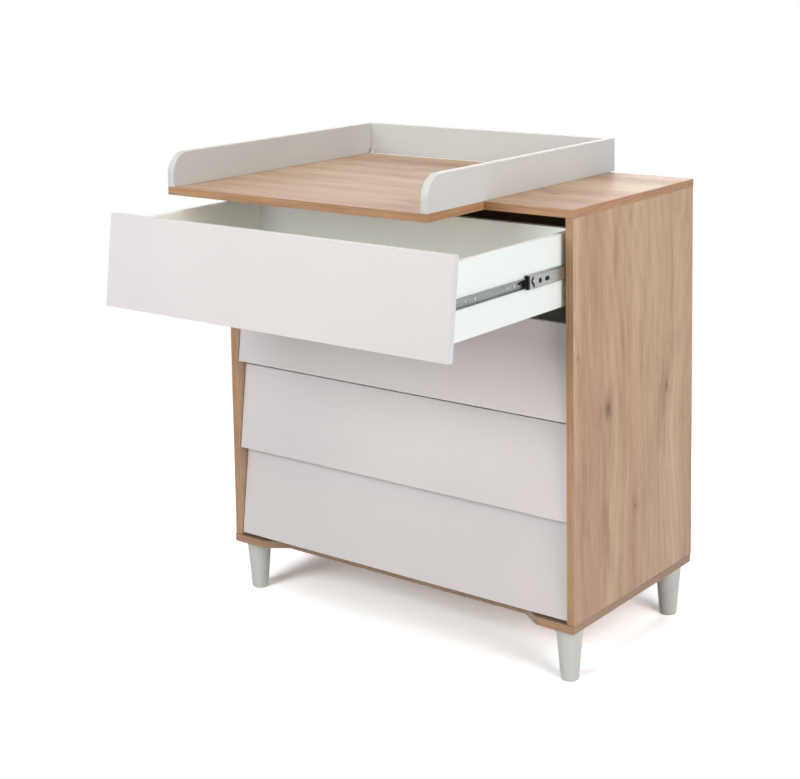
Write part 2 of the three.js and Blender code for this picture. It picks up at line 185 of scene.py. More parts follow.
class ShaderSheet(NodeSheet):
    """One material's nodes.

    Args:
        name: the material's name.
        roughness: the shader's plain roughness.
        metallic: 1 for bare metal.
        colour: the shader's plain colour.
    """

    def __init__(
        self, name: str, roughness: float, metallic: float = 0.0, colour: Colour = (0.8, 0.8, 0.8)
    ) -> None:
        """Makes the material and sets its shader."""
        self.material = bpy.data.materials.new(name)
        self.material.use_nodes = True
        super().__init__(self.material.node_tree)
        self.shader = self.nodes["Principled BSDF"]
        self.shader.inputs["Roughness"].default_value = roughness
        self.shader.inputs["Metallic"].default_value = metallic
        self.shader.inputs["Base Color"].default_value = (*colour, 1)

    def point(self) -> Socket:
        """The point in object coordinates."""
        return self.put("TexCoord", {}, "Object")

    def parts(self, point: Socket) -> tuple[Socket, Socket, Socket]:
        """A point's X, Y and Z."""
        return tuple(self.put("SeparateXYZ", {0: point}).node.outputs)

    def scaled(self, value: Value, by: Value, plus: Value = 0.0) -> Socket:
        """The value times a factor, plus an amount."""
        return self.math("MULTIPLY_ADD", value, by, plus)

    def stretched(self, point: Socket, scales: Point, seed: Point = (0, 0, 0)) -> Socket:
        """The point times scales, plus seed. A noise read there is drawn out along an axis."""
        return self.put("VectorMath", {0: point, 1: scales, 2: seed}, operation="MULTIPLY_ADD")

    def noise(
        self, point: Socket, scale: float = 1.0, detail: float = 2.0, rough: float = 0.5
    ) -> Socket:
        """Smooth noise around one half."""
        inputs = {"Vector": point, "Scale": scale, "Detail": detail, "Roughness": rough}
        return self.put("TexNoise", inputs)

    def cells(self, point: Socket, scale: float) -> Socket:
        """A share of its own in each of the cells that fill the space."""
        colour = self.put("TexVoronoi", {"Vector": point, "Scale": scale}, "Color")
        return self.put("SeparateXYZ", {0: colour})

    def ramp(self, share: Value, *stops: tuple[float, Colour]) -> Socket:
        """A colour read off a ramp.

        Args:
            share: where the ramp is read.
            stops: (place, colour) pairs.

        Returns:
            The colour.
        """
        socket = self.put("ValToRGB", {0: share})
        elements = socket.node.color_ramp.elements
        while len(elements) < len(stops):
            elements.new(1.0)
        for element, (at, colour) in zip(elements, stops, strict=True):
            element.position = at
            element.color = (*colour, 1)
        return socket

    def between(self, share: Value, low: float, high: float) -> Socket:
        """0 below low, 1 above high, and smooth between."""
        inputs = {"Value": share, "From Min": low, "From Max": high}
        return self.put("MapRange", inputs, interpolation_type="SMOOTHSTEP")

    def blend(self, share: Value, first: Value, second: Value) -> Socket:
        """Mixes two colours.

        Args:
            share: how much of the second.
            first, second: the colours.

        Returns:
            The mixed colour.
        """
        pair = [(*c, 1) if isinstance(c, tuple) else c for c in (first, second)]
        inputs = {0: share, MIX_FIRST: pair[0], MIX_SECOND: pair[1]}
        return self.put("Mix", inputs, MIX_RESULT, data_type="RGBA")

    def tinted(
        self, tone: Value, tint: Value, pattern: Value, span: Pair, weight: float = 1.0
    ) -> Socket:
        """The tone with a tint mixed in by weight, more as the pattern goes through the span."""
        return self.blend(self.scaled(self.between(pattern, *span), by=weight), tone, tint)

    def wear(self, colour: Socket, roughness: Socket) -> None:
        """Links a colour and a roughness to the shader."""
        self.links.new(colour, self.shader.inputs["Base Color"])
        self.links.new(roughness, self.shader.inputs["Roughness"])

    def relief(self, height: Value, depth: float) -> None:
        """Bumps the surface by height, 0 to 1, times depth in metres."""
        inputs = {"Height": height, "Distance": depth, "Strength": 1.0}
        self.links.new(self.put("Bump", inputs, "Normal"), self.shader.inputs["Normal"])


class Finish:
    """What every finish can do: give its material."""

    name: str

    def material(self) -> bpy.types.Material:
        """The finish as a material, made once."""
        return material_of(self)

    def draw(self) -> ShaderSheet:
        """Writes the nodes."""
        raise NotImplementedError


@cache
def material_of(finish: Finish) -> bpy.types.Material:
    """The one material of a finish, drawn when it is first asked for."""
    return finish.draw().material


@dataclass(frozen=True)
class Knot:
    """A knot in a printed board: its place along and across the grain, and its radius."""

    along: float
    across: float
    radius: float


@dataclass(frozen=True)
class OakDecor(Finish):
    """Printed oak: wide staves of slightly different tone, growth lines bent round knots, pores.

    The grain runs along one axis and across Y. Growth lines are a sine of the place across, bent by
    slow noise, and pores are noise drawn out some thirty times along the grain.
    """

    name: str
    grain: Axis
    seed: Point
    knots: tuple[Knot, ...] = ()
    pale: Colour = linear(203, 181, 153)
    middle: Colour = linear(191, 164, 138)
    rosy: Colour = linear(183, 152, 129)
    dark: Colour = linear(146, 113, 88)
    heart: Colour = linear(101, 76, 59)
    gloss: float = 0.2
    knot_length: float = 2.6
    knot_width: float = 1.5
    lines_a_metre: float = 26.0
    arch_lines: float = 15.0
    knot_fall: float = 0.8
    knot_pull: float = 0.7
    core_fall: float = 9.0
    core_shade: float = 0.5
    rim_shade: float = 0.46
    rim_span: Pair = (0.35, 0.7)

    def figure(
        self, s: ShaderSheet, point: Socket, scales: Pair, detail: float, rough: float = 0.5
    ) -> Socket:
        """Noise with one scale along the grain and one across it."""
        along, across = scales
        return s.noise(s.stretched(point, (along, across, across), self.seed), 1.0, detail, rough)

    def round_knots(
        self, s: ShaderSheet, along: Socket, y: Socket, across: Socket, fine: Socket
    ) -> tuple[Socket, Value]:
        """Bends the growth lines round each knot and shades it.

        Each knot is a bell over an ellipse round its place: a wide one pulls the lines apart and is
        ragged at its rim, and a narrow one is the dark core.

        Args:
            s: the sheet.
            along, y: the place along and across the grain.
            across: the place across that the growth lines are read from.
            fine: the noise that makes the rims ragged.

        Returns:
            The bent place across, and the knots' shade.
        """
        shade: Value = 0.0
        for knot in self.knots:
            length, width = knot.radius * self.knot_length, knot.radius * self.knot_width
            run = s.math("DIVIDE", s.math("SUBTRACT", along, knot.along), length)
            off = s.math("SUBTRACT", y, knot.across)
            off_share = s.math("DIVIDE", off, width)
            square = s.scaled(run, by=run, plus=s.scaled(off_share, by=off_share))
            pull = s.math("EXPONENT", s.scaled(square, by=-self.knot_fall))
            across = s.scaled(s.scaled(off, by=-self.knot_pull), by=pull, plus=across)
            core = s.math("EXPONENT", s.scaled(square, by=-self.core_fall))
            ragged = s.scaled(pull, by=s.between(fine, *self.rim_span))
            rim = s.scaled(ragged, by=self.rim_shade)
            shade = s.math("ADD", s.scaled(core, by=self.core_shade, plus=rim), shade)
        return across, shade

    def draw(self) -> ShaderSheet:
        """Writes the nodes.

        Returns:
            The finished sheet.
        """
        s = ShaderSheet(self.name, roughness=0.52)
        s.shader.inputs["Specular IOR Level"].default_value = self.gloss
        x, y, z = s.parts(s.point())
        along, other = (x, z) if self.grain is Axis.X else (z, x)
        flat = s.put("CombineXYZ", {0: along, 1: y, 2: other})
        slow = self.figure(s, flat, scales=(1.3, 3.4), detail=2)
        fine = self.figure(s, flat, scales=(9, 34), detail=3)
        across = s.scaled(s.math("SUBTRACT", slow, 0.5), by=0.1, plus=y)
        across = s.scaled(s.math("SUBTRACT", fine, 0.5), by=0.008, plus=across)
        across, shade = self.round_knots(s, along, y, across, fine)
        bent = s.put("CombineXYZ", {0: along, 1: across, 2: other})
        stave = self.figure(s, bent, scales=(0.5, 8), detail=1, rough=0.4)
        tone = s.ramp(stave, (0.34, self.rosy), (0.5, self.middle), (0.64, self.pale))
        patch = self.figure(s, bent, scales=(3.2, 17), detail=4, rough=0.62)
        tone = s.tinted(tone, self.dark, patch, span=(0.46, 0.78), weight=0.62)
        tone = s.tinted(tone, self.pale, patch, span=(0.46, 0.24), weight=0.5)
        arch = self.figure(s, bent, scales=(0.8, 2.6), detail=1)
        turns = s.scaled(across, by=self.lines_a_metre, plus=s.scaled(arch, by=self.arch_lines))
        wave = s.math("SINE", s.scaled(turns, by=math.tau))
        growth = s.math("POWER", s.scaled(wave, by=0.5, plus=0.5), 4.0)
        tone = s.blend(s.scaled(growth, by=0.14), tone, self.dark)
        streak = self.figure(s, bent, scales=(5, 210), detail=5, rough=0.62)
        tone = s.tinted(tone, self.dark, streak, span=(0.46, 0.74), weight=0.4)
        tone = s.tinted(tone, self.pale, streak, span=(0.46, 0.28), weight=0.2)
        pore = s.between(self.figure(s, bent, scales=(26, 900), detail=1), low=0.58, high=0.7)
        tone = s.blend(s.scaled(pore, by=0.26), tone, self.heart)
        if self.knots:
            tone = s.blend(s.math("MINIMUM", shade, 0.8), tone, self.heart)
        s.wear(tone, s.scaled(pore, by=0.12, plus=0.48))
        s.relief(s.math("SUBTRACT", 1.0, pore), depth=0.12 * MM)
        return s


@dataclass(frozen=True)
class OakBand(Finish):
    """Plastic edge band printed as oak: fine lines along the edge, close together across it."""

    name: str
    thickness_axis: Axis
    colour: Colour = linear(176, 136, 98)
    dark: Colour = linear(142, 104, 72)
    along_scale: float = 9.0
    across_scale: float = 620.0

    def draw(self) -> ShaderSheet:
        """Writes the nodes.

        Returns:
            The finished sheet.
        """
        s = ShaderSheet(self.name, roughness=0.42)
        point = s.point()
        scales = [self.along_scale] * 3
        scales[self.thickness_axis.value] = self.across_scale
        line = s.noise(s.stretched(point, tuple(scales)), detail=3, rough=0.6)
        cloud = s.noise(point, scale=14, detail=2)
        tone = s.tinted(self.colour, self.dark, line, span=(0.4, 0.75))
        tone = s.tinted(tone, self.dark, cloud, span=(0.45, 0.75), weight=0.3)
        s.wear(tone, s.scaled(line, by=0.1, plus=0.38))
        s.relief(line, depth=0.05 * MM)
        return s


@dataclass(frozen=True)
class Laminate(Finish):
    """Plain coloured board: a fine orange peel in the gloss and a faint cloud in the colour."""

    name: str
    colour: Colour
    roughness: float = 0.46
    cloud: float = 0.03

    def draw(self) -> ShaderSheet:
        """Writes the nodes.

        Returns:
            The finished sheet.
        """
        s = ShaderSheet(self.name, self.roughness)
        point = s.point()
        soft = s.noise(point, scale=3.5, detail=3)
        peel = s.noise(point, scale=700, detail=2)
        tone = s.tinted(self.colour, darker(self.colour, self.cloud), soft, span=(0.3, 0.7))
        s.wear(tone, s.scaled(peel, by=0.12, plus=self.roughness - 0.06))
        s.relief(peel, depth=0.03 * MM)
        return s


@dataclass(frozen=True)
class Lacquer(Finish):
    """Sprayed wood: the turned grain shows as faint lines under the paint."""

    name: str
    colour: Colour

    def draw(self) -> ShaderSheet:
        """Writes the nodes.

        Returns:
            The finished sheet.
        """
        s = ShaderSheet(self.name, roughness=0.4)
        point = s.point()
        grain = s.noise(s.stretched(point, (260, 260, 10)), detail=3, rough=0.6)
        spray = s.noise(point, scale=900, detail=2)
        tone = s.tinted(self.colour, darker(self.colour, 0.07), grain, span=(0.35, 0.75))
        s.wear(tone, s.scaled(spray, by=0.16, plus=0.32))
        s.relief(s.scaled(spray, by=0.3, plus=grain), depth=0.06 * MM)
        return s


@dataclass(frozen=True)
class PressedFibre(Finish):
    """Hardboard or chipboard: flecks of fibre in three tones, lying flat."""

    name: str
    base: Colour
    fleck: Colour
    pit: Colour
    flecks_a_metre: float
    roughness: float = 0.85
    shift: Point = (0.3, 0.7, 0.1)

    def draw(self) -> ShaderSheet:
        """Writes the nodes.

        Returns:
            The finished sheet.
        """
        s = ShaderSheet(self.name, self.roughness)
        point = s.point()
        flake = s.cells(s.stretched(point, (1, 1, 1), self.shift), self.flecks_a_metre)
        dust = s.noise(point, scale=self.flecks_a_metre * 3, detail=3, rough=0.7)
        tone = s.tinted(self.base, self.fleck, flake, span=(0.35, 0.9))
        tone = s.tinted(tone, self.pit, dust, span=(0.5, 0.7), weight=0.7)
        s.wear(tone, s.scaled(dust, by=0.2, plus=self.roughness - 0.1))
        s.relief(dust, depth=0.25 * MM)
        return s


@dataclass(frozen=True)
class RolledSteel(Finish):
    """Zinc-plated sheet: streaks along the rolling direction Y and the plating's small spangles."""

    name: str
    colour: Colour
    roughness: float = 0.36
    streak: float = 0.35

    def draw(self) -> ShaderSheet:
        """Writes the nodes.

        Returns:
            The finished sheet.
        """
        s = ShaderSheet(self.name, self.roughness, metallic=1.0)
        point = s.point()
        roll = s.noise(s.stretched(point, (900, 14, 900)), detail=4, rough=0.65)
        spangle = s.cells(point, scale=420.0)
        dull = darker(self.colour, self.streak)
        tone = s.tinted(self.colour, dull, roll, span=(0.3, 0.75))
        tone = s.blend(s.scaled(spangle, by=0.16), tone, dull)
        rolled = s.scaled(roll, by=0.16, plus=self.roughness - 0.1)
        s.wear(tone, s.scaled(spangle, by=0.1, plus=rolled))
        s.relief(roll, depth=0.03 * MM)
        return s


@dataclass(frozen=True)
class MouldedPlastic(Finish):
    """Injection-moulded plastic with a fine spark-eroded grain."""

    name: str
    colour: Colour
    roughness: float = 0.42
    gloss: float = 0.5

    def draw(self) -> ShaderSheet:
        """Writes the nodes.

        Returns:
            The finished sheet.
        """
        s = ShaderSheet(self.name, self.roughness)
        s.shader.inputs["Specular IOR Level"].default_value = self.gloss
        grain = s.noise(s.point(), scale=2200, detail=2, rough=0.6)
        tone = s.blend(grain, self.colour, darker(self.colour, 0.1))
        s.wear(tone, s.scaled(grain, by=0.14, plus=self.roughness - 0.07))
        s.relief(grain, depth=0.03 * MM)
        return s


FRONT_GREY = Laminate("warm_white_laminate", linear(214, 208, 206))
FRONT_BAND = Laminate("warm_white_band", linear(210, 217, 219), 0.4, 0.02)
BOX_WHITE = Laminate("drawer_box_laminate", linear(233, 244, 242))
BOX_BAND = Laminate("drawer_box_band", linear(236, 241, 239), 0.4, 0.02)
# A lighter, warmer copy of the box laminate for the drawer's inside: a warmer white, and painted
# light in its shade.
BOX_INSIDE_PAINTED_LIGHT = Laminate("drawer_box_inside", linear(246, 249, 243))
RAIL_GREY = Laminate("frame_laminate", linear(206, 209, 207))
RAIL_BAND = Laminate("frame_band", linear(202, 204, 197), 0.4, 0.02)
LEG_GREY = Lacquer("leg_lacquer", linear(201, 204, 199))
HARDBOARD = PressedFibre(
    "hardboard", linear(158, 124, 90), linear(172, 139, 104), linear(120, 92, 66), 560.0
)
RAW_EDGE = PressedFibre(
    "chipboard_edge", linear(196, 164, 124), linear(222, 196, 158), linear(128, 94, 62), 420.0
)
ZINC = RolledSteel("zinc_steel", (0.37, 0.4, 0.38))
ZINC_MIDDLE = RolledSteel("zinc_steel_middle", (0.52, 0.54, 0.52), 0.32)
BALL_STEEL = RolledSteel("ball_steel", (0.72, 0.73, 0.74), 0.16, 0.08)
SCREW_STEEL = RolledSteel("screw_steel", (0.62, 0.62, 0.58), 0.3, 0.2)
STOP_BLACK = MouldedPlastic("stop_plastic", (0.004, 0.006, 0.005), 0.62, 0.2)
BRACKET_WHITE = MouldedPlastic("bracket_plastic", linear(214, 211, 206))


# Surfaces


def corner_arcs(
    behind: Array, ahead: Array, corners: Array, radii: Array | float, steps: int
) -> tuple[Array, Array]:
    """Rounds corners by arcs that touch both edges.

    With the turn t between the edges, an arc's centre lies radius * tan(t / 2) back along the first
    edge and one radius inside, and the arc runs through t.

    Args:
        behind, ahead: (n, 2) unit runs of the edges before and after each corner.
        corners: (n, 2) corners.
        radii: one radius, or (n, 1) radii.
        steps: facets in each arc.

    Returns:
        (n, steps + 1, 2) points, and for each the unit normal to the right of the run.
    """
    cross = behind[:, 0] * ahead[:, 1] - behind[:, 1] * ahead[:, 0]
    turn = np.arctan2(cross, (behind * ahead).sum(1))
    sign = np.sign(turn)[:, None]
    right = np.stack([behind[:, 1], -behind[:, 0]], 1)
    centre = corners - behind * radii * np.tan(np.abs(turn) / 2)[:, None] - right * radii * sign
    angle = turn[:, None] * np.linspace(0, 1, steps + 1)
    cos, sin = np.cos(angle), np.sin(angle)
    level = right[:, :1] * cos - right[:, 1:] * sin
    rise = right[:, :1] * sin + right[:, 1:] * cos
    normals = np.stack([level, rise], -1)
    return centre[:, None] + (radii * sign)[:, None] * normals, normals


def softened(corners: Array, radius: float | Array, steps: int = 3) -> Array:
    """Rounds the corners of a closed outline.

    Args:
        corners: (n, 2) corners, anticlockwise.
        radius: one radius, or one for each corner.
        steps: facets in each arc.

    Returns:
        (n * (steps + 1), 2) points.
    """
    corners = np.asarray(corners, float)
    radii = np.broadcast_to(np.asarray(radius, float), len(corners))[:, None]
    ahead = np.roll(corners, -1, 0) - corners
    ahead /= np.linalg.norm(ahead, axis=1, keepdims=True)
    return corner_arcs(np.roll(ahead, 1, 0), ahead, corners, radii, steps)[0].reshape(-1, 2)


def bent_line(corners: Array, radius: float, steps: int = 5) -> tuple[Array, Array]:
    """Rounds the inner corners of an open line, as a sheet is bent.

    Args:
        corners: (n, 2) points of the sheet's centre line.
        radius: the bends' radius at the centre line.
        steps: facets in each bend.

    Returns:
        The points, and for each the unit normal to the right of the line's run.
    """
    corners = np.asarray(corners, float)
    run = np.diff(corners, axis=0)
    run /= np.linalg.norm(run, axis=1, keepdims=True)
    arcs, normals = corner_arcs(run[:-1], run[1:], corners[1:-1], radius, steps)
    first, last = ([[run[end, 1], -run[end, 0]]] for end in (0, -1))
    points = np.concatenate([corners[:1], arcs.reshape(-1, 2), corners[-1:]])
    return points, np.concatenate([first, normals.reshape(-1, 2), last])


def mitres(points: Array) -> Array:
    """For each point of a closed outline, the step that moves both edges beside it out by one.

    It is the sum of the two edges' normals over one plus their product.

    Args:
        points: (n, 2) points, anticlockwise.

    Returns:
        (n, 2) steps.
    """
    run = np.roll(points, -1, 0) - points
    run /= np.linalg.norm(run, axis=1, keepdims=True)
    after = np.stack([run[:, 1], -run[:, 0]], 1)
    before = np.roll(after, 1, 0)
    return (before + after) / (1 + (before * after).sum(1, keepdims=True))


def laid(axis: Axis, points: Array, run: Array | float) -> Array:
    """Points of an outline in the two other axes, in their usual order, at run along the axis."""
    return np.insert(points, axis.value, run, axis=-1)


def quads(at: Array) -> Array:
    """The four corners of each cell in a table of point numbers."""
    return np.stack([at[:-1, :-1], at[:-1, 1:], at[1:, 1:], at[1:, :-1]], -1)


class Patchwork:
    """Surface patches that become one mesh. Patches that share a rim are welded when it is made."""

    def __init__(self) -> None:
        """Starts with no patch."""
        self.patches: list[tuple[Array, list[list[int]], int]] = []

    def patch(self, points: Array, faces: list[list[int]], finish: int = 0) -> "Patchwork":
        """Adds points and the faces between them, all in one finish."""
        self.patches.append((np.asarray(points, float).reshape(-1, 3), faces, finish))
        return self

    def grid(self, points: Array, closed: bool = False) -> "Patchwork":
        """Adds a surface of two parameters.

        Args:
            points: (m, n, 3), m rows of n points.
            closed: whether each row's last point joins its first.

        Returns:
            The patchwork.
        """
        rows, columns = points.shape[:2]
        at = np.arange(rows * columns).reshape(rows, columns)
        if closed:
            at = np.concatenate([at, at[:, :1]], 1)
        return self.patch(points, quads(at).reshape(-1, 4).tolist())

    def tube(self, rings: Array) -> "Patchwork":
        """Adds closed rings joined into a tube with flat ends.

        Args:
            rings: (m, n, 3) points.

        Returns:
            The patchwork.
        """
        self.grid(rings, True)
        end = list(range(rings.shape[1]))
        return self.patch(rings[0], [end]).patch(rings[-1], [end[::-1]])

    def copies(self, places: Array) -> "Patchwork":
        """Repeats the patchwork, once at each place.

        Args:
            places: (k, 3) places.

        Returns:
            A new patchwork.
        """
        made = Patchwork()
        for points, faces, finish in self.patches:
            spread = points[None] + np.asarray(places, float)[:, None]
            starts = len(points) * np.arange(len(places))
            shifted = [[i + int(start) for i in face] for start in starts for face in faces]
            made.patch(spread, shifted, finish)
        return made

    def joined(self, other: "Patchwork", finish: int | None = None) -> "Patchwork":
        """Adds another patchwork's patches.

        Args:
            other: the patchwork whose patches are added.
            finish: their finish, if it is a new one.

        Returns:
            This patchwork.
        """
        for points, faces, own in other.patches:
            self.patches.append((points, faces, own if finish is None else finish))
        return self

    def mesh(self, name: str) -> bpy.types.Mesh:
        """Welds the patches, turns every face outwards and sets the finish numbers.

        Args:
            name: the mesh's name.

        Returns:
            The mesh.
        """
        points, own_faces, own_finish = zip(*self.patches)
        starts = np.cumsum([0] + [len(own) for own in points])
        faces = [[i + int(s) for i in face] for s, own in zip(starts, own_faces) for face in own]
        finishes = np.repeat(own_finish, [len(own) for own in own_faces])
        mesh = bpy.data.meshes.new(name)
        mesh.from_pydata(np.concatenate(points).tolist(), [], faces)
        mesh.polygons.foreach_set("material_index", finishes.astype(np.int32))
        work = bmesh.new()
        work.from_mesh(mesh)
        bmesh.ops.remove_doubles(work, verts=work.verts, dist=WELD)
        bmesh.ops.recalc_face_normals(work, faces=work.faces)
        work.to_mesh(mesh)
        work.free()
        return mesh


def of_faces(mesh: bpy.types.Mesh, key: str) -> Array:
    """Reads a vector that the mesh keeps for each of its faces.

    Args:
        mesh: the mesh.
        key: the vector's name.

    Returns:
        (n, 3) numbers.
    """
    values = np.zeros(len(mesh.polygons) * 3, np.float32)
    mesh.polygons.foreach_get(key, values)
    return values.reshape(-1, 3)


@dataclass
class Piece:
    """A finished piece: its surface, finishes and slot, the CAD node it stands for, and its body.

    Where it has more than one finish, choose gives the number of each face's finish from the faces'
    normals and middles, or the surface's own patches carry it.
    """

    name: str
    surface: Patchwork
    finishes: tuple[Finish, ...]
    slot: str
    node: str | None = None
    choose: Choose | None = None
    body: str = "chest"

    def build(self) -> None:
        """Makes the object, rounds its shading over and ties it to the frame."""
        mesh = self.surface.mesh(self.name)
        for finish in self.finishes:
            mesh.materials.append(finish.material())
        if self.choose is not None:
            chosen = self.choose(of_faces(mesh, "normal"), of_faces(mesh, "center"))
            mesh.polygons.foreach_set("material_index", chosen.astype(np.int32))
        mesh.shade_smooth()
        mesh.set_sharp_from_angle(angle=SHARP_ANGLE)
        piece = bpy.data.objects.new(self.name, mesh)
        bpy.context.scene.collection.objects.link(piece)
        even = piece.modifiers.new("even_shading", "WEIGHTED_NORMAL")
        even.keep_sharp = True
        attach(piece, self.body)
        if self.node is not None:
            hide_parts(self.node)
        log.info("%s: %d faces on %s", self.name, len(mesh.polygons), self.body)


def swept(
    outline: Array, axis: Axis, start: EndFace, stop: EndFace, rim: float, steps: int = 3
) -> Patchwork:
    """An outline carried along an axis, with both end rims rounded over.

    Near an end the ring is drawn in by rim * (1 - sin a) and stands rim * (1 - cos a) inside the
    end, as a goes from nothing to a right angle.

    Args:
        outline: (n, 2) points in the two other axes, anticlockwise.
        axis: the sweep's direction.
        start, stop: the ends, each a place or a function of the outline's points.
        rim: the rounding's radius.
        steps: facets in the rounding.

    Returns:
        The closed surface.
    """
    angle = np.linspace(0, math.pi / 2, steps + 1)[:, None, None]
    rings = outline[None] - mitres(outline)[None] * rim * (1 - np.sin(angle))
    inside = rim * (1 - np.cos(angle[..., 0]))
    ends = []
    for end, inward in ((start, inside), (stop, -inside)):
        flat = [end(ring) if callable(end) else np.full(len(ring), end) for ring in rings]
        runs = np.stack(flat) + inward
        ends.append(np.stack([laid(axis, ring, run) for ring, run in zip(rings, runs)]))
    return Patchwork().tube(np.concatenate([ends[0], ends[1][::-1]]))


def rectangle(low: Pair, high: Pair) -> Array:
    """The four corners of a rectangle, anticlockwise."""
    return np.array([low, (high[0], low[1]), high, (low[0], high[1])])


def turned(profile: Array, centre: Point, steps: int) -> Patchwork:
    """A turned form: each profile point (radius, height) goes round a vertical axis.

    Args:
        profile: (m, 2), from the foot up. Its ends have a small radius and are closed flat.
        centre: where the axis meets height zero.
        steps: facets round it.

    Returns:
        The closed surface.
    """
    turn = np.linspace(0, math.tau, steps, endpoint=False)
    ring = np.stack([np.cos(turn), np.sin(turn), np.zeros(steps)], -1)
    rings = profile[:, :1, None] * ring[None] + np.array([0, 0, 1.0]) * profile[:, 1:, None]
    return Patchwork().tube(rings + np.array(centre))


@dataclass(frozen=True)
class ScrewHead:
    """A low domed screw head: a disc on radius and angle, dished where the driver goes in.

    Lengths across it are shares of its radius, and heights are shares of its height.
    """

    radius: float
    height: float
    recess: Recess = Recess.CROSS
    steps: int = 24
    rings: tuple[float, ...] = (0.0001, 0.12, 0.2, 0.3, 0.42, 0.52, 0.62, 0.75, 0.88, 0.97, 1.0)
    rim_height: float = 0.45
    cross_half: float = 0.13
    hex_half: float = 0.42
    recess_reach: float = 0.6
    recess_floor: float = 0.12

    def surface(self, axis: Axis, sign: int, places: Array) -> Patchwork:
        """The heads at their places, each with its top facing along sign times the axis.

        Height falls off as a circle from the middle, and the recess is a valley one blade wide, or
        the inside of three pairs of parallel lines.

        Args:
            axis: the screws' axis.
            sign: 1 or -1, the side that the heads face.
            places: (k, 3) points on the surface that the heads sit on.

        Returns:
            The closed heads.
        """
        reach = np.array(self.rings)[:, None]
        turn = np.linspace(0, math.tau, self.steps, endpoint=False)[None]
        across, up = reach * np.cos(turn), reach * np.sin(turn)
        fall = np.sqrt(np.maximum(1 - reach**2, 0)) + 0 * turn
        dome = self.rim_height + (1 - self.rim_height) * fall
        if self.recess is Recess.CROSS:
            valley = np.minimum(np.abs(across), np.abs(up)) < self.cross_half
        else:
            turns = (0, math.pi / 3, -math.pi / 3)
            fold = np.stack([across * math.cos(a) + up * math.sin(a) for a in turns])
            valley = np.abs(fold).max(0) < self.hex_half
        top = np.where(valley & (reach < self.recess_reach), self.recess_floor, dome)
        plane = np.stack([across, up], -1) * self.radius
        crown = laid(axis, plane, sign * self.height * top)
        skirt = laid(axis, plane[-1:], np.zeros((1, self.steps)))
        return Patchwork().tube(np.concatenate([crown, skirt])).copies(places)


# The frame's measures


class Measures:
    """Places read off the CAD nodes."""

    def box(self, node: str) -> tuple[Array, Array]:
        """A node's lowest and highest corner."""
        low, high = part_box(node)
        return np.array(low), np.array(high)

    def low(self, node: str) -> Array:
        """A node's lowest corner."""
        return self.box(node)[0]

    def high(self, node: str) -> Array:
        """A node's highest corner."""
        return self.box(node)[1]

    def inner_outer(self, node: str, side: Side) -> Pair:
        """X of an upright node's face towards the dresser's middle, and of the other one."""
        low, high = self.box(node)
        return (low[0], high[0]) if side is Side.RIGHT else (high[0], low[0])

    @property
    def front(self) -> float:
        """The chest's front plane."""
        return float(self.low("side_panel_right")[1])


AT = Measures()


def edges_are_band(axis: Axis) -> Choose:
    """Finish 0 on an upright board's faces and underside and 1 on its other edges.

    Args:
        axis: the axis through the board's thickness.

    Returns:
        What chooses the faces' finishes.
    """

    def choose(normals: Array, centres: Array) -> Array:
        """The finish number of each face."""
        edge = np.abs(normals[:, axis.value]) < FACING
        return (edge & (normals[:, 2] > DOWNWARD)).astype(int)

    return choose


def rear_is_raw(axis: Axis) -> Choose:
    """Finish 0 on a board's faces, 1 on its edges and 2, the bare board, on its rear edge.

    Args:
        axis: the axis through the board's thickness.

    Returns:
        What chooses the faces' finishes.
    """

    def choose(normals: Array, centres: Array) -> Array:
        """The finish number of each face."""
        edge = np.abs(normals[:, axis.value]) < FACING
        return np.where(edge & (normals[:, 1] > FACING), 2, edge.astype(int))

    return choose


def flat_board(node: str, axis: Axis, corner: float = 1.0 * MM, rim: float = 0.6 * MM) -> Patchwork:
    """A board with the box of its CAD node, lying across the axis.

    Args:
        node: the CAD node.
        axis: the axis through the board's thickness.
        corner: radius of its four corners.
        rim: radius along its faces' rims.

    Returns:
        The closed surface.
    """
    low, high = AT.box(node)
    plan = rectangle(tuple(np.delete(low, axis.value)), tuple(np.delete(high, axis.value)))
    return swept(softened(plan, corner), axis, low[axis.value], high[axis.value], rim)


# Sub-assemblies


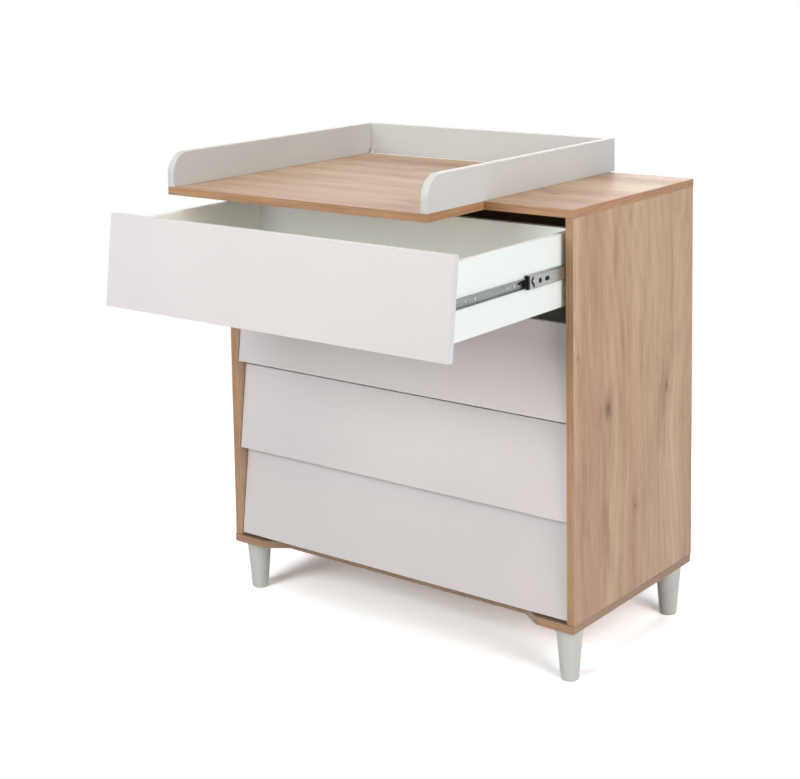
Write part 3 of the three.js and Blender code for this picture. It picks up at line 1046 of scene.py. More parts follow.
@dataclass
class Chest:
    """The case: two sides, an overlaid top, a bottom with a finger recess, a back and screws."""

    edge_radius: float = 0.8 * MM
    side_rim: float = 0.2 * MM
    rebate_depth: float = 4 * MM
    rebate_width: float = 8 * MM
    recess_depth: float = 36 * MM
    recess_half_width: float = 392 * MM
    recess_curve: float = 60 * MM
    recess_bulge: float = 12 * MM
    recess_steps: int = 24
    back_corner: float = 0.5 * MM
    back_rim: float = 0.3 * MM
    nail_radius: float = 1.5 * MM
    nail_height: float = 0.6 * MM
    nail_steps: int = 12
    nail_margin: float = 4 * MM
    nail_foot: float = 8 * MM
    nail_end: float = 30 * MM
    nail_corner: float = 90 * MM
    nails_up: int = 7
    nails_across: int = 6
    screw_radius: float = 4.5 * MM
    screw_height: float = 0.5 * MM
    screw_runs: tuple[float, ...] = (110 * MM, 260 * MM, 410 * MM)
    # Tones for the bottom's upper face: the oak darkened as painted shade, the shadow under the
    # drawer fronts.
    inside_tones: tuple[tuple[int, int, int], ...] = (
        (150, 130, 108),
        (140, 118, 98),
        (134, 110, 92),
        (106, 82, 64),
        (74, 56, 44),
    )
    # The band at the front edge's two ends, a little darker than the case's other bands: painted
    # shade.
    front_band: OakBand = OakBand(
        "oak_band_bottom", Axis.Z, linear(168, 129, 95), linear(135, 99, 69)
    )
    # A darker band for the recess and the sides: painted shade under the lowest drawer front.
    shaded_band: OakBand = OakBand(
        "oak_band_low", Axis.Z, linear(150, 119, 91), linear(118, 90, 67)
    )
    left_knots: tuple[Knot, ...] = (Knot(0.7, -0.02, 0.01), Knot(0.38, 0.3, 0.014))
    right_knots: tuple[Knot, ...] = (
        Knot(0.572, 0.075, 0.02),
        Knot(0.327, 0.19, 0.006),
        Knot(0.706, -0.047, 0.004),
        Knot(0.566, 0.332, 0.014),
    )
    top_knots: tuple[Knot, ...] = (Knot(0.33, 0.1, 0.008),)

    def side(self, side: Side) -> Piece:
        """A side panel: its plan, with the back's rebate in the rear inner edge, carried up.

        Args:
            side: which of the two.

        Returns:
            The piece.
        """
        node = f"side_panel_{side.word}"
        low, high = AT.box(node)
        inner, outer = AT.inner_outer(node, side)
        rebate_x = inner + side.value * self.rebate_width
        rebate_y = high[1] - self.rebate_depth
        front = [(inner, low[1]), (outer, low[1])]
        rear = [(outer, high[1]), (rebate_x, high[1]), (rebate_x, rebate_y), (inner, rebate_y)]
        plan = softened(np.array(front + rear)[:: side.value], self.edge_radius)
        surface = swept(plan, Axis.Z, low[2], high[2], self.side_rim)
        knots = self.right_knots if side is Side.RIGHT else self.left_knots
        seed = (3.1 * side.value, 7.7, 1.3)
        decor = OakDecor(f"oak_{side.word}_side", Axis.Z, seed, knots)
        finishes = (decor, OakBand("oak_band_upright", Axis.X), RAW_EDGE)
        name = f"{side.word}_side"
        return Piece(name, surface, finishes, "oak_decor", node, rear_is_raw(Axis.X))

    def top(self) -> Piece:
        """The top, overlaid on the sides, with the grain along its length.

        Returns:
            The piece.
        """
        node = "top_panel"
        decor = OakDecor("oak_top", Axis.X, seed=(5.2, 1.9, 0.4), knots=self.top_knots)
        finishes = (decor, OakBand("oak_band_level", Axis.Z), RAW_EDGE)
        surface = flat_board(node, Axis.Z)
        return Piece("top", surface, finishes, "oak_decor", node, rear_is_raw(Axis.Z))

    def bottom_plan(self) -> Array:
        """The bottom's outline. Its front edge goes back to the recess on two S curves.

        Each is a cubic Bezier, (1-t)^3 P0 + 3(1-t)^2 t P1 + 3(1-t) t^2 P2 + t^3 P3, with P1 and P2
        level with its ends and the bulge away from them.

        Returns:
            (n, 2) points.
        """
        low, high = AT.box("bottom_panel")
        t = np.linspace(0, 1, self.recess_steps + 1)[:, None]
        outer, inner = self.recess_half_width, self.recess_half_width - self.recess_curve
        bulge, deep = self.recess_bulge, self.recess_depth
        ends = np.array([(-outer, 0), (-outer + bulge, 0), (-inner - bulge, deep), (-inner, deep)])
        weights = [(1 - t) ** 3, 3 * (1 - t) ** 2 * t, 3 * (1 - t) * t**2, t**3]
        left = np.concatenate(weights, 1) @ ends + np.array([0, low[1]])
        right = (left * np.array([-1, 1]))[::-1]
        board = rectangle((low[0], low[1]), (high[0], high[1]))
        corners = softened(board, self.edge_radius).reshape(4, -1, 2)
        return np.concatenate([corners[0], left, right, *corners[1:]])

    def bottom(self) -> Piece:
        """The bottom; its bands and upper face are darker, painted shade, least at the front ends.

        Returns:
            The piece.
        """
        node, seed = "bottom_panel", (9.4, 4.1, 2.2)
        low, high = AT.box(node)
        surface = swept(self.bottom_plan(), Axis.Z, low[2], high[2], self.edge_radius)
        tones = (linear(*tone) for tone in self.inside_tones)
        # The upper face's oak in these darker tones is painted shade.
        inside = OakDecor("oak_inside", Axis.X, seed, (), *tones)
        decor = OakDecor("oak_bottom", Axis.X, seed)
        finishes = (decor, self.front_band, RAW_EDGE, self.shaded_band, inside)
        plain = rear_is_raw(Axis.Z)

        def choose(normals: Array, centres: Array) -> Array:
            """As other boards, with painted shade: darker bands in recess and sides, darker upper
            face.

            Args:
                normals, centres: (n, 3), the faces' normals and middles.

            Returns:
                The number of each face's finish.
            """
            chosen = plain(normals, centres)
            in_recess = np.abs(centres[:, 0]) < self.recess_half_width
            painted_shade_edge = in_recess | (np.abs(normals[:, 0]) > FACING)
            chosen = np.where((chosen == 1) & painted_shade_edge, 3, chosen)
            return np.where(normals[:, 2] > FACING, 4, chosen)

        return Piece("bottom", surface, finishes, "oak_decor", node, choose)

    def back(self) -> Piece:
        """The hardboard sheet let into the rebates.

        Returns:
            The piece.
        """
        node = "back_panel"
        surface = flat_board(node, Axis.Y, self.back_corner, self.back_rim)
        return Piece("back", surface, (HARDBOARD,), "hardboard", node)

    def fasteners(self) -> Piece:
        """Nails round the back sheet, and screws that come up through the bottom into the sides.

        Returns:
            The piece.
        """
        low, high = AT.box("back_panel")
        heights = np.linspace(low[2] + self.nail_end, high[2] - self.nail_end, self.nails_up)
        first, last = low[0] + self.nail_corner, high[0] - self.nail_corner
        sides = (low[0] + self.nail_margin, high[0] - self.nail_margin)
        upright = [(x, high[1], z) for x in sides for z in heights]
        foot = low[2] + self.nail_foot
        level = [(x, high[1], foot) for x in np.linspace(first, last, self.nails_across)]
        nail = ScrewHead(self.nail_radius, self.nail_height, Recess.CROSS, self.nail_steps)
        surface = nail.surface(Axis.Y, 1, np.array(upright + level))
        x = sum(AT.inner_outer("side_panel_right", Side.RIGHT)) / 2
        below = AT.low("bottom_panel")[2]
        places = [(s.value * x, AT.front + run, below) for s in Side for run in self.screw_runs]
        screw = ScrewHead(self.screw_radius, self.screw_height, Recess.HEX)
        surface.joined(screw.surface(Axis.Z, -1, np.array(places)))
        return Piece("chest_fasteners", surface, (SCREW_STEEL,), "zinc_steel")

    def build(self) -> None:
        """Builds the case's pieces in the order they are put together."""
        sides = (self.side(Side.LEFT), self.side(Side.RIGHT))
        for piece in (self.bottom(), *sides, self.back(), self.top(), self.fasteners()):
            piece.build()


@dataclass
class Legs:
    """Four turned legs: straight cones with softened feet and shoulders, and studs on top."""

    foot_radius: float = 19.5 * MM
    head_radius: float = 30 * MM
    foot_round: float = 3 * MM
    shoulder_round: float = 1 * MM
    stud_radius: float = 4 * MM
    stud_length: float = 14 * MM
    thread_pitch: float = 1.25 * MM
    thread_depth: float = 0.35 * MM
    end_radius: float = 0.2 * MM
    round_steps: int = 6
    taper_steps: int = 13
    steps: int = 72

    def profile(self, height: float) -> Array:
        """The leg's outline as (radius, height): foot arc, taper, shoulder arc, and a ribbed stud.

        The stud's radius falls by the thread's depth between crests.

        Args:
            height: from the floor to the case.

        Returns:
            (n, 2) points.
        """
        turn = np.linspace(0, math.pi / 2, self.round_steps + 1)
        drawn, risen = 1 - np.sin(turn), 1 - np.cos(turn)
        foot = np.stack([self.foot_radius - self.foot_round * drawn, self.foot_round * risen], 1)
        share = np.linspace(0, 1, self.taper_steps + 1)[1:-1]
        rise = self.foot_round + share * (height - self.foot_round - self.shoulder_round)
        taper = self.foot_radius + (self.head_radius - self.foot_radius) * rise / height
        wall = np.stack([taper, rise], 1)
        head = self.head_radius - self.shoulder_round * risen
        shoulder = np.stack([head, height - self.shoulder_round * drawn], 1)
        ribs = 2 * int(self.stud_length / self.thread_pitch) + 1
        stud_rise = np.linspace(0, self.stud_length, ribs)
        crest = self.stud_radius - self.thread_depth * (np.arange(ribs) % 2)
        stud = np.stack([crest, height + stud_rise], 1)
        sole, tip = [(self.end_radius, 0)], [(self.end_radius, height + self.stud_length)]
        return np.concatenate([sole, foot, wall, shoulder, stud, tip])

    def build(self) -> None:
        """Turns the four legs on their CAD nodes' axes."""
        profile = self.profile(AT.low("bottom_panel")[2])
        for place in ("front_left", "front_right", "rear_left", "rear_right"):
            node = f"leg_{place}"
            low, high = AT.box(node)
            middle = (low + high) / 2
            surface = turned(profile, (middle[0], middle[1], low[2]), self.steps)
            Piece(f"{place}_leg", surface, (LEG_GREY,), "leg_lacquer", node).build()


@dataclass
class ChangingFrame:
    """Three rails round the changing bay, the shelf before it, the lath behind, the brackets."""

    corner_radius: float = 50 * MM
    corner_steps: int = 14
    edge_radius: float = 0.9 * MM
    fit_gap: float = 0.1 * MM
    lath_drop: float = 1.2 * MM
    lath_height: float = 16 * MM
    lath_corner: float = 0.5 * MM
    lath_rim: float = 0.3 * MM
    # A dark band: painted shade, the contact shadow where the back rail meets the top.
    lath_band: OakBand = OakBand(
        "oak_band_spacer", Axis.Y, linear(112, 84, 62), linear(84, 62, 46)
    )
    bracket_thickness: float = 2.4 * MM
    bracket_web_half: float = 1.4 * MM
    bracket_round: float = 0.7 * MM
    bracket_steps: int = 4
    bracket_screw: float = 2.1 * MM
    bracket_screw_height: float = 0.9 * MM
    web_places: tuple[float, ...] = (0, 0.35 * MM, 0.7 * MM, 1 * MM)
    web_shares: tuple[float, ...] = (0, 0, 0.25, 0.8, 1)
    web_line: Pair = (0.2, 0.8)
    shelf_screw: float = 3.8 * MM
    shelf_screw_height: float = 0.6 * MM
    shelf_screw_runs: Pair = (160 * MM, 50 * MM)

    def side_rail(self, side: Side) -> Piece:
        """A side rail: its outline, with the tall round front corner, carried along X.

        Args:
            side: which of the two.

        Returns:
            The piece.
        """
        node = f"frame_rail_{side.word}"
        low, high = AT.box(node)
        corners = rectangle((low[1], low[2]), (high[1], high[2]))
        small = softened(corners, self.edge_radius).reshape(4, -1, 2)
        tall = softened(corners, self.corner_radius, self.corner_steps).reshape(4, -1, 2)
        outline = np.concatenate([*small[:3], tall[3]])
        surface = swept(outline, Axis.X, low[0], high[0], self.edge_radius)
        finishes, choose = (RAIL_GREY, RAIL_BAND), edges_are_band(Axis.X)
        return Piece(f"{side.word}_rail", surface, finishes, "frame_laminate", node, choose)

    def back_rail(self) -> Piece:
        """The rail between the side rails' rear ends.

        Returns:
            The piece.
        """
        node = "frame_rail_back"
        surface = flat_board(node, Axis.Y, self.edge_radius, self.edge_radius)
        finishes, choose = (RAIL_GREY, RAIL_BAND), edges_are_band(Axis.Y)
        return Piece("back_rail", surface, finishes, "frame_laminate", node, choose)

    def lath(self) -> Piece:
        """The lath on the top's rear edge, closing the gap at the rail's foot; its dark band is
        painted shade.

        Returns:
            The piece.
        """
        rear, face = AT.high("top_panel"), AT.low("frame_rail_back")[1] - self.fit_gap
        top = rear[2] + self.fit_gap
        low, high = (rear[1] + self.fit_gap, top - self.lath_height), (face, top - self.lath_drop)
        outline = softened(rectangle(low, high), self.lath_corner)
        left = AT.high("frame_rail_left")[0] + self.fit_gap
        right = AT.low("frame_rail_right")[0] - self.fit_gap
        surface = swept(outline, Axis.X, left, right, self.lath_rim)
        return Piece("rear_spacer", surface, (self.lath_band,), "oak_decor")

    def shelf(self) -> Piece:
        """The shelf in front of the top.

        Returns:
            The piece.
        """
        node = "frame_front_shelf"
        decor = OakDecor("oak_shelf", Axis.X, seed=(2.3, 8.8, 5.1))
        finishes = (decor, OakBand("oak_band_level", Axis.Z), RAW_EDGE)
        surface = flat_board(node, Axis.Z)
        return Piece("front_shelf", surface, finishes, "oak_decor", node, rear_is_raw(Axis.Z))

    def bracket(self, side: Side) -> Piece:
        """An angle bracket with a web, as one loft along X.

        Away from the web a ring is the angle's L. In the web its inner corner moves out to the line
        between the two tips, by a share that rises and falls, and the rest of the ring stays.

        Args:
            side: which of the two.

        Returns:
            The piece.
        """
        node = f"frame_bracket_{side.word}"
        low, high = AT.box(node)
        wall, floor = high[1] - self.bracket_thickness, low[2] + self.bracket_thickness
        outside = [(low[1], low[2]), (high[1], low[2]), (high[1], high[2])]
        inside = [(wall, high[2]), (wall, floor), (low[1], floor)]
        angle = softened(np.array(outside + inside), self.bracket_round, self.bracket_steps)
        tips = np.array([(wall, high[2]), (low[1], floor)])
        tips += np.array([(0, -1), (1, 0)]) * self.bracket_round
        arc = self.bracket_steps + 1
        filled = angle.copy()
        line = np.linspace(*self.web_line, arc)[:, None]
        inner_corner = slice(4 * arc, 5 * arc)
        filled[inner_corner] = tips[0] + line * (tips[1] - tips[0])
        middle = (low[0] + high[0]) / 2
        reach = self.bracket_web_half + np.array(self.web_places)
        runs = np.concatenate([[low[0]], middle - reach[::-1], middle + reach, [high[0]]])
        share = np.array(self.web_shares + self.web_shares[::-1])[:, None, None]
        rings = angle[None] + share * (filled - angle)[None]
        loft = np.stack([laid(Axis.X, ring, run) for ring, run in zip(rings, runs)])
        surface = Patchwork().tube(loft)
        head = ScrewHead(self.bracket_screw, self.bracket_screw_height)
        beside = (high[0] - middle + self.bracket_web_half) / 2
        holes = (middle - beside, middle + beside)
        on_floor = np.array([(x, (low[1] + wall) / 2, floor) for x in holes])
        on_wall = np.array([(x, wall, (floor + high[2]) / 2) for x in holes])
        surface.joined(head.surface(Axis.Z, 1, on_floor), 1)
        surface.joined(head.surface(Axis.Y, -1, on_wall), 1)
        finishes = (BRACKET_WHITE, SCREW_STEEL)
        return Piece(f"{side.word}_bracket", surface, finishes, "white_plastic", node)

    def screws(self) -> Piece:
        """The screws that hold the shelf to the rails from below.

        Returns:
            The piece.
        """
        below = AT.low("frame_front_shelf")[2]
        rails = [sum(AT.inner_outer(f"frame_rail_{side.word}", side)) / 2 for side in Side]
        places = [(x, AT.front - run, below) for x in rails for run in self.shelf_screw_runs]
        head = ScrewHead(self.shelf_screw, self.shelf_screw_height)
        surface = head.surface(Axis.Z, -1, np.array(places))
        return Piece("shelf_screws", surface, (SCREW_STEEL,), "zinc_steel")

    def build(self) -> None:
        """Builds the frame's pieces."""
        corners = [piece for s in Side for piece in (self.side_rail(s), self.bracket(s))]
        for piece in (self.shelf(), *corners, self.back_rail(), self.lath(), self.screws()):
            piece.build()


@dataclass
class Drawer:
    """One drawer: a leaning front and a box of two sides, a back and a base let into grooves."""

    number: int
    lean: float = 25 * MM
    front_height: float = 203 * MM
    board: float = 18 * MM
    box_board: float = 16 * MM
    groove_depth: float = 6 * MM
    groove_gap: float = 0.2 * MM
    edge_radius: float = 0.8 * MM
    groove_radius: float = 0.2 * MM
    box_rim: float = 0.15 * MM
    base_corner: float = 0.5 * MM
    base_rim: float = 0.2 * MM
    base_gap: float = 0.2 * MM
    cam_radius: float = 7.5 * MM
    cam_setback: float = 34 * MM
    screw_radius: float = 3.6 * MM
    head_height: float = 0.5 * MM
    fitting_levels: Pair = (0.3, 0.78)

    @property
    def body(self) -> str:
        """The CAD body that the drawer rides on."""
        return f"drawer_{self.number}"

    def named(self, piece: str) -> str:
        """The name of a CAD node or a piece on this drawer."""
        return f"drawer_{self.number}_{piece}"

    @property
    def tilt(self) -> float:
        """The front's angle from the upright."""
        return math.atan(self.lean / self.front_height)

    def front_outline(self) -> Array:
        """The front seen from the side: a board's section, tilted about its lower front edge.

        Returns:
            Its four corners.
        """
        low = AT.low(self.named("front"))
        foot = low[2] + self.board * math.sin(self.tilt)
        edge = np.array([(low[1], foot), (low[1] + self.lean, foot + self.front_height)])
        through = self.board * np.array([math.cos(self.tilt), -math.sin(self.tilt)])
        return np.array([edge[0], edge[0] + through, edge[1] + through, edge[1]])

    def front_rear_face(self, height: float) -> float:
        """Where the leaning front's rear face is at a height."""
        corners = self.front_outline()
        return corners[1, 0] + (height - corners[1, 1]) * math.tan(self.tilt)

    def front(self) -> Piece:
        """The leaning front.

        Returns:
            The piece.
        """
        node = self.named("front")
        low, high = AT.box(node)
        outline = softened(self.front_outline(), self.edge_radius)
        surface = swept(outline, Axis.X, low[0], high[0], self.edge_radius)
        across = np.array([0, math.cos(self.tilt), -math.sin(self.tilt)])

        def choose(normals: Array, centres: Array) -> Array:
            """Band on the edges, laminate on the two faces."""
            return (np.abs(normals @ across) < FACING).astype(int)

        name, finishes = self.named("leaning_front"), (FRONT_GREY, FRONT_BAND)
        return Piece(name, surface, finishes, "front_laminate", node, choose, self.body)

    def section(self, inner: float, outer: float, bottom: float, top: float) -> Array:
        """A box board's section, with the base's groove in its inner face.

        Args:
            inner, outer: where its two faces are.
            bottom, top: its lower and upper edge.

        Returns:
            The outline with its corners rounded over.
        """
        turn = 1 if outer > inner else -1
        base_low, base_high = AT.box(self.named("base"))
        under, over = base_low[2] - self.groove_gap, base_high[2] + self.groove_gap
        deep = inner + turn * self.groove_depth
        board = [(inner, bottom), (outer, bottom), (outer, top), (inner, top)]
        groove = [(inner, over), (deep, over), (deep, under), (inner, under)]
        radii = np.repeat([self.edge_radius, self.groove_radius], 4)
        return softened(np.array(board + groove)[::turn], radii[::turn], 2)

    def box_piece(self, name: str, surface: Patchwork, node: str, axis: Axis, sign: int) -> Piece:
        """A board of the box, with painted light on its inner face: the lighter inside finish.

        Args:
            name: the piece's name on this drawer.
            surface: its surface.
            node: the CAD node it stands for.
            axis: the axis through the board's thickness.
            sign: 1 or -1, the way to the inside of the box.

        Returns:
            The piece.
        """
        band = edges_are_band(axis)

        def choose(normals: Array, centres: Array) -> Array:
            """The finish number of each face."""
            return np.where(sign * normals[:, axis.value] > FACING, 2, band(normals, centres))

        finishes = (BOX_WHITE, BOX_BAND, BOX_INSIDE_PAINTED_LIGHT)
        name = self.named(name)
        return Piece(name, surface, finishes, "box_laminate", node, choose, self.body)

    def box_side(self, side: Side) -> Piece:
        """A box side: its grooved section, carried back from the front's leaning rear face.

        Args:
            side: which of the two.

        Returns:
            The piece.
        """
        node = self.named(f"side_{side.word}")
        low, high = AT.box(node)
        section = self.section(*AT.inner_outer(node, side), low[2], high[2])
        foot = low[1] - math.tan(self.tilt) * low[2]

        def start(points: Array) -> Array:
            """The front end follows the front's lean, rising with height."""
            return foot + math.tan(self.tilt) * points[:, 1]

        surface = swept(section, Axis.Y, start, high[1], self.box_rim, 2)
        return self.box_piece(f"{side.word}_box_side", surface, node, Axis.X, -side.value)

    def box_back(self) -> Piece:
        """The box's back, grooved like its sides.

        Returns:
            The piece.
        """
        node = self.named("back")
        low, high = AT.box(node)
        section = self.section(low[1], high[1], low[2], high[2])
        surface = swept(section, Axis.X, low[0], high[0], self.box_rim, 2)
        return self.box_piece("box_back", surface, node, Axis.Y, -1)

    def box_base(self) -> Piece:
        """The base sheet, from its grooves in the sides and back up to the front.

        Returns:
            The piece.
        """
        node = self.named("base")
        low, high = AT.box(node)
        front = self.front_rear_face(low[2]) + self.base_gap
        outline = softened(rectangle((low[0], front), (high[0], high[1])), self.base_corner)
        surface = swept(outline, Axis.Z, low[2], high[2], self.base_rim, 2)
        name = self.named("box_base")
        # The whole base wears the lighter inside finish, painted light.
        return Piece(name, surface, (BOX_INSIDE_PAINTED_LIGHT,), "box_laminate", node, body=self.body)

    def fitting_places(self, side: Side, inside: bool) -> Array:
        """Where the fittings sit on a box side.

        Args:
            side: which box side.
            inside: True for the cams behind the front, False for the back's screws.

        Returns:
            (k, 3) places.
        """
        node = self.named(f"side_{side.word}")
        low, high = AT.box(node)
        inner, outer = AT.inner_outer(node, side)
        places = []
        for z in low[2] + (high[2] - low[2]) * np.array(self.fitting_levels):
            cam, screw = self.front_rear_face(z) + self.cam_setback, high[1] - self.box_board / 2
            places.append((inner, cam, z) if inside else (outer, screw, z))
        return np.array(places)

    def fittings(self) -> Piece:
        """Cam discs that draw the front on, and screws through the sides into the back.

        Returns:
            The piece.
        """
        surface = Patchwork()
        for radius, inside in ((self.cam_radius, True), (self.screw_radius, False)):
            head = ScrewHead(radius, self.head_height)
            for side in Side:
                sign = -side.value if inside else side.value
                surface.joined(head.surface(Axis.X, sign, self.fitting_places(side, inside)))
        name = self.named("fittings")
        return Piece(name, surface, (SCREW_STEEL,), "zinc_steel", body=self.body)

    def build(self) -> None:
        """Builds the drawer's pieces."""
        sides = [self.box_side(side) for side in Side]
        for piece in (self.front(), *sides, self.box_back(), self.box_base(), self.fittings()):
            piece.build()


@dataclass(frozen=True)
class SheetHole:
    """A hole through a channel's web: its place as a share of the slide, and its form.

    It is a circle that is drawn out upwards if tall is more than one, and lengthways if long is.
    """

    share: float
    radius: float = 2.5 * MM
    tall: float = 1.0
    long: float = 1.0


@dataclass
class PiercedChannel:
    """A bent sheet carried along Y, with holes through its web.

    The sheet's centre line is rounded at its bends and laid off by half its thickness to each side.
    The web is cut into cells, and round each hole the cell's grid gives way to a ring patch: point
    k of the cell's rim is joined to point k of the hole's rim, at the same angle.
    """

    line: Array
    front: float
    rear: float
    holes: tuple[SheetHole, ...]
    hole_span: float
    sheet: float
    cell_half: float
    bend_radius: float = 0.85 * MM
    cell_steps: int = 6

    def centre_line(self) -> tuple[Array, Array, slice]:
        """Rounds the line and cuts its web into cells.

        Returns:
            The points, their normals, and the web's rows.
        """
        points, normals = bent_line(self.line, self.bend_radius)
        middle = len(points) // 2
        share = np.linspace(0, 1, self.cell_steps + 1)[1:-1, None]
        web = points[middle - 1] + share * (points[middle] - points[middle - 1])
        web_normals = np.repeat(normals[middle : middle + 1], len(web), 0)
        points = np.concatenate([points[:middle], web, points[middle:]])
        normals = np.concatenate([normals[:middle], web_normals, normals[middle:]])
        return points, normals, slice(middle - 1, middle + self.cell_steps)

    def stations(self) -> tuple[Array, Array]:
        """Where the rows cross the sheet along Y.

        Returns:
            The rows' places, and for each hole the first row of its cell.
        """
        centres = self.front + np.array([hole.share for hole in self.holes]) * self.hole_span
        reach = np.linspace(-self.cell_half, self.cell_half, self.cell_steps + 1)
        cells = np.round(centres[:, None] + reach[None], 7)
        ends = np.round([self.front, self.rear], 7)
        runs = np.unique(np.concatenate([ends, cells.ravel()]))
        return runs, np.searchsorted(runs, cells[:, 0])

    def surface(self, to_x: Callable[[Array], Array], base_z: float) -> Patchwork:
        """The pierced sheet.

        Args:
            to_x: turns the distance from the drawer's side into X.
            base_z: the slide's axis.

        Returns:
            The closed surface.
        """
        points, normals, web = self.centre_line()
        runs, starts = self.stations()
        rows, columns, steps = len(points), len(runs), self.cell_steps
        kept = np.ones((rows - 1, columns - 1), bool)
        for start in starts:
            kept[web.start : web.start + steps, start : start + steps] = False
        faces = quads(np.arange(rows * columns).reshape(rows, columns))[kept].tolist()
        made, sheets = Patchwork(), []
        for side in (-0.5, 0.5):
            laid_off = (points + normals * self.sheet * side)[:, None]
            x, z = to_x(laid_off[..., 0]), base_z + laid_off[..., 1]
            sheets.append(np.stack(np.broadcast_arrays(x, runs[None], z), -1))
            made.patch(sheets[-1], faces)
        for edge in ((0, slice(None)), (-1, slice(None)), (slice(None), 0), (slice(None), -1)):
            made.grid(np.stack([sheets[0][edge], sheets[1][edge]]))
        for hole, start in zip(self.holes, starts):
            made.joined(self.hole(hole, sheets, web.start, int(start)))
        return made

    def hole(self, hole: SheetHole, sheets: list[Array], row: int, column: int) -> Patchwork:
        """The ring patches on both faces and the hole's wall.

        A hole's rim is (r cos a, r sin a), with r * (long - 1) and r * (tall - 1) added to each by
        its sign.

        Args:
            hole: the hole.
            sheets: both faces' points, by row and column.
            row, column: the first of its cell.

        Returns:
            The patches.
        """
        steps = self.cell_steps
        go, stay = np.arange(steps), np.zeros(steps, int)
        sides = [(stay, go), (go, stay + steps), (stay + steps, steps - go), (steps - go, stay)]
        rim = np.concatenate([np.stack(side, 1) for side in sides])
        made, rings = Patchwork(), []
        for sheet in sheets:
            cell = sheet[row + rim[:, 0], column + rim[:, 1]]
            centre = (sheet[row, column] + sheet[row + steps, column + steps]) / 2
            off = cell - centre
            angle = np.arctan2(off[:, 2], off[:, 1])
            ring = [np.zeros(len(angle))]
            for reach, drawn in ((np.cos(angle), hole.long), (np.sin(angle), hole.tall)):
                place = hole.radius * reach
                ring.append(place + hole.radius * (drawn - 1) * np.sign(np.round(place, 9)))
            rings.append(centre + np.stack(ring, 1))
            made.grid(np.stack([cell, rings[-1]]), True)
        return made.grid(np.stack(rings), True)


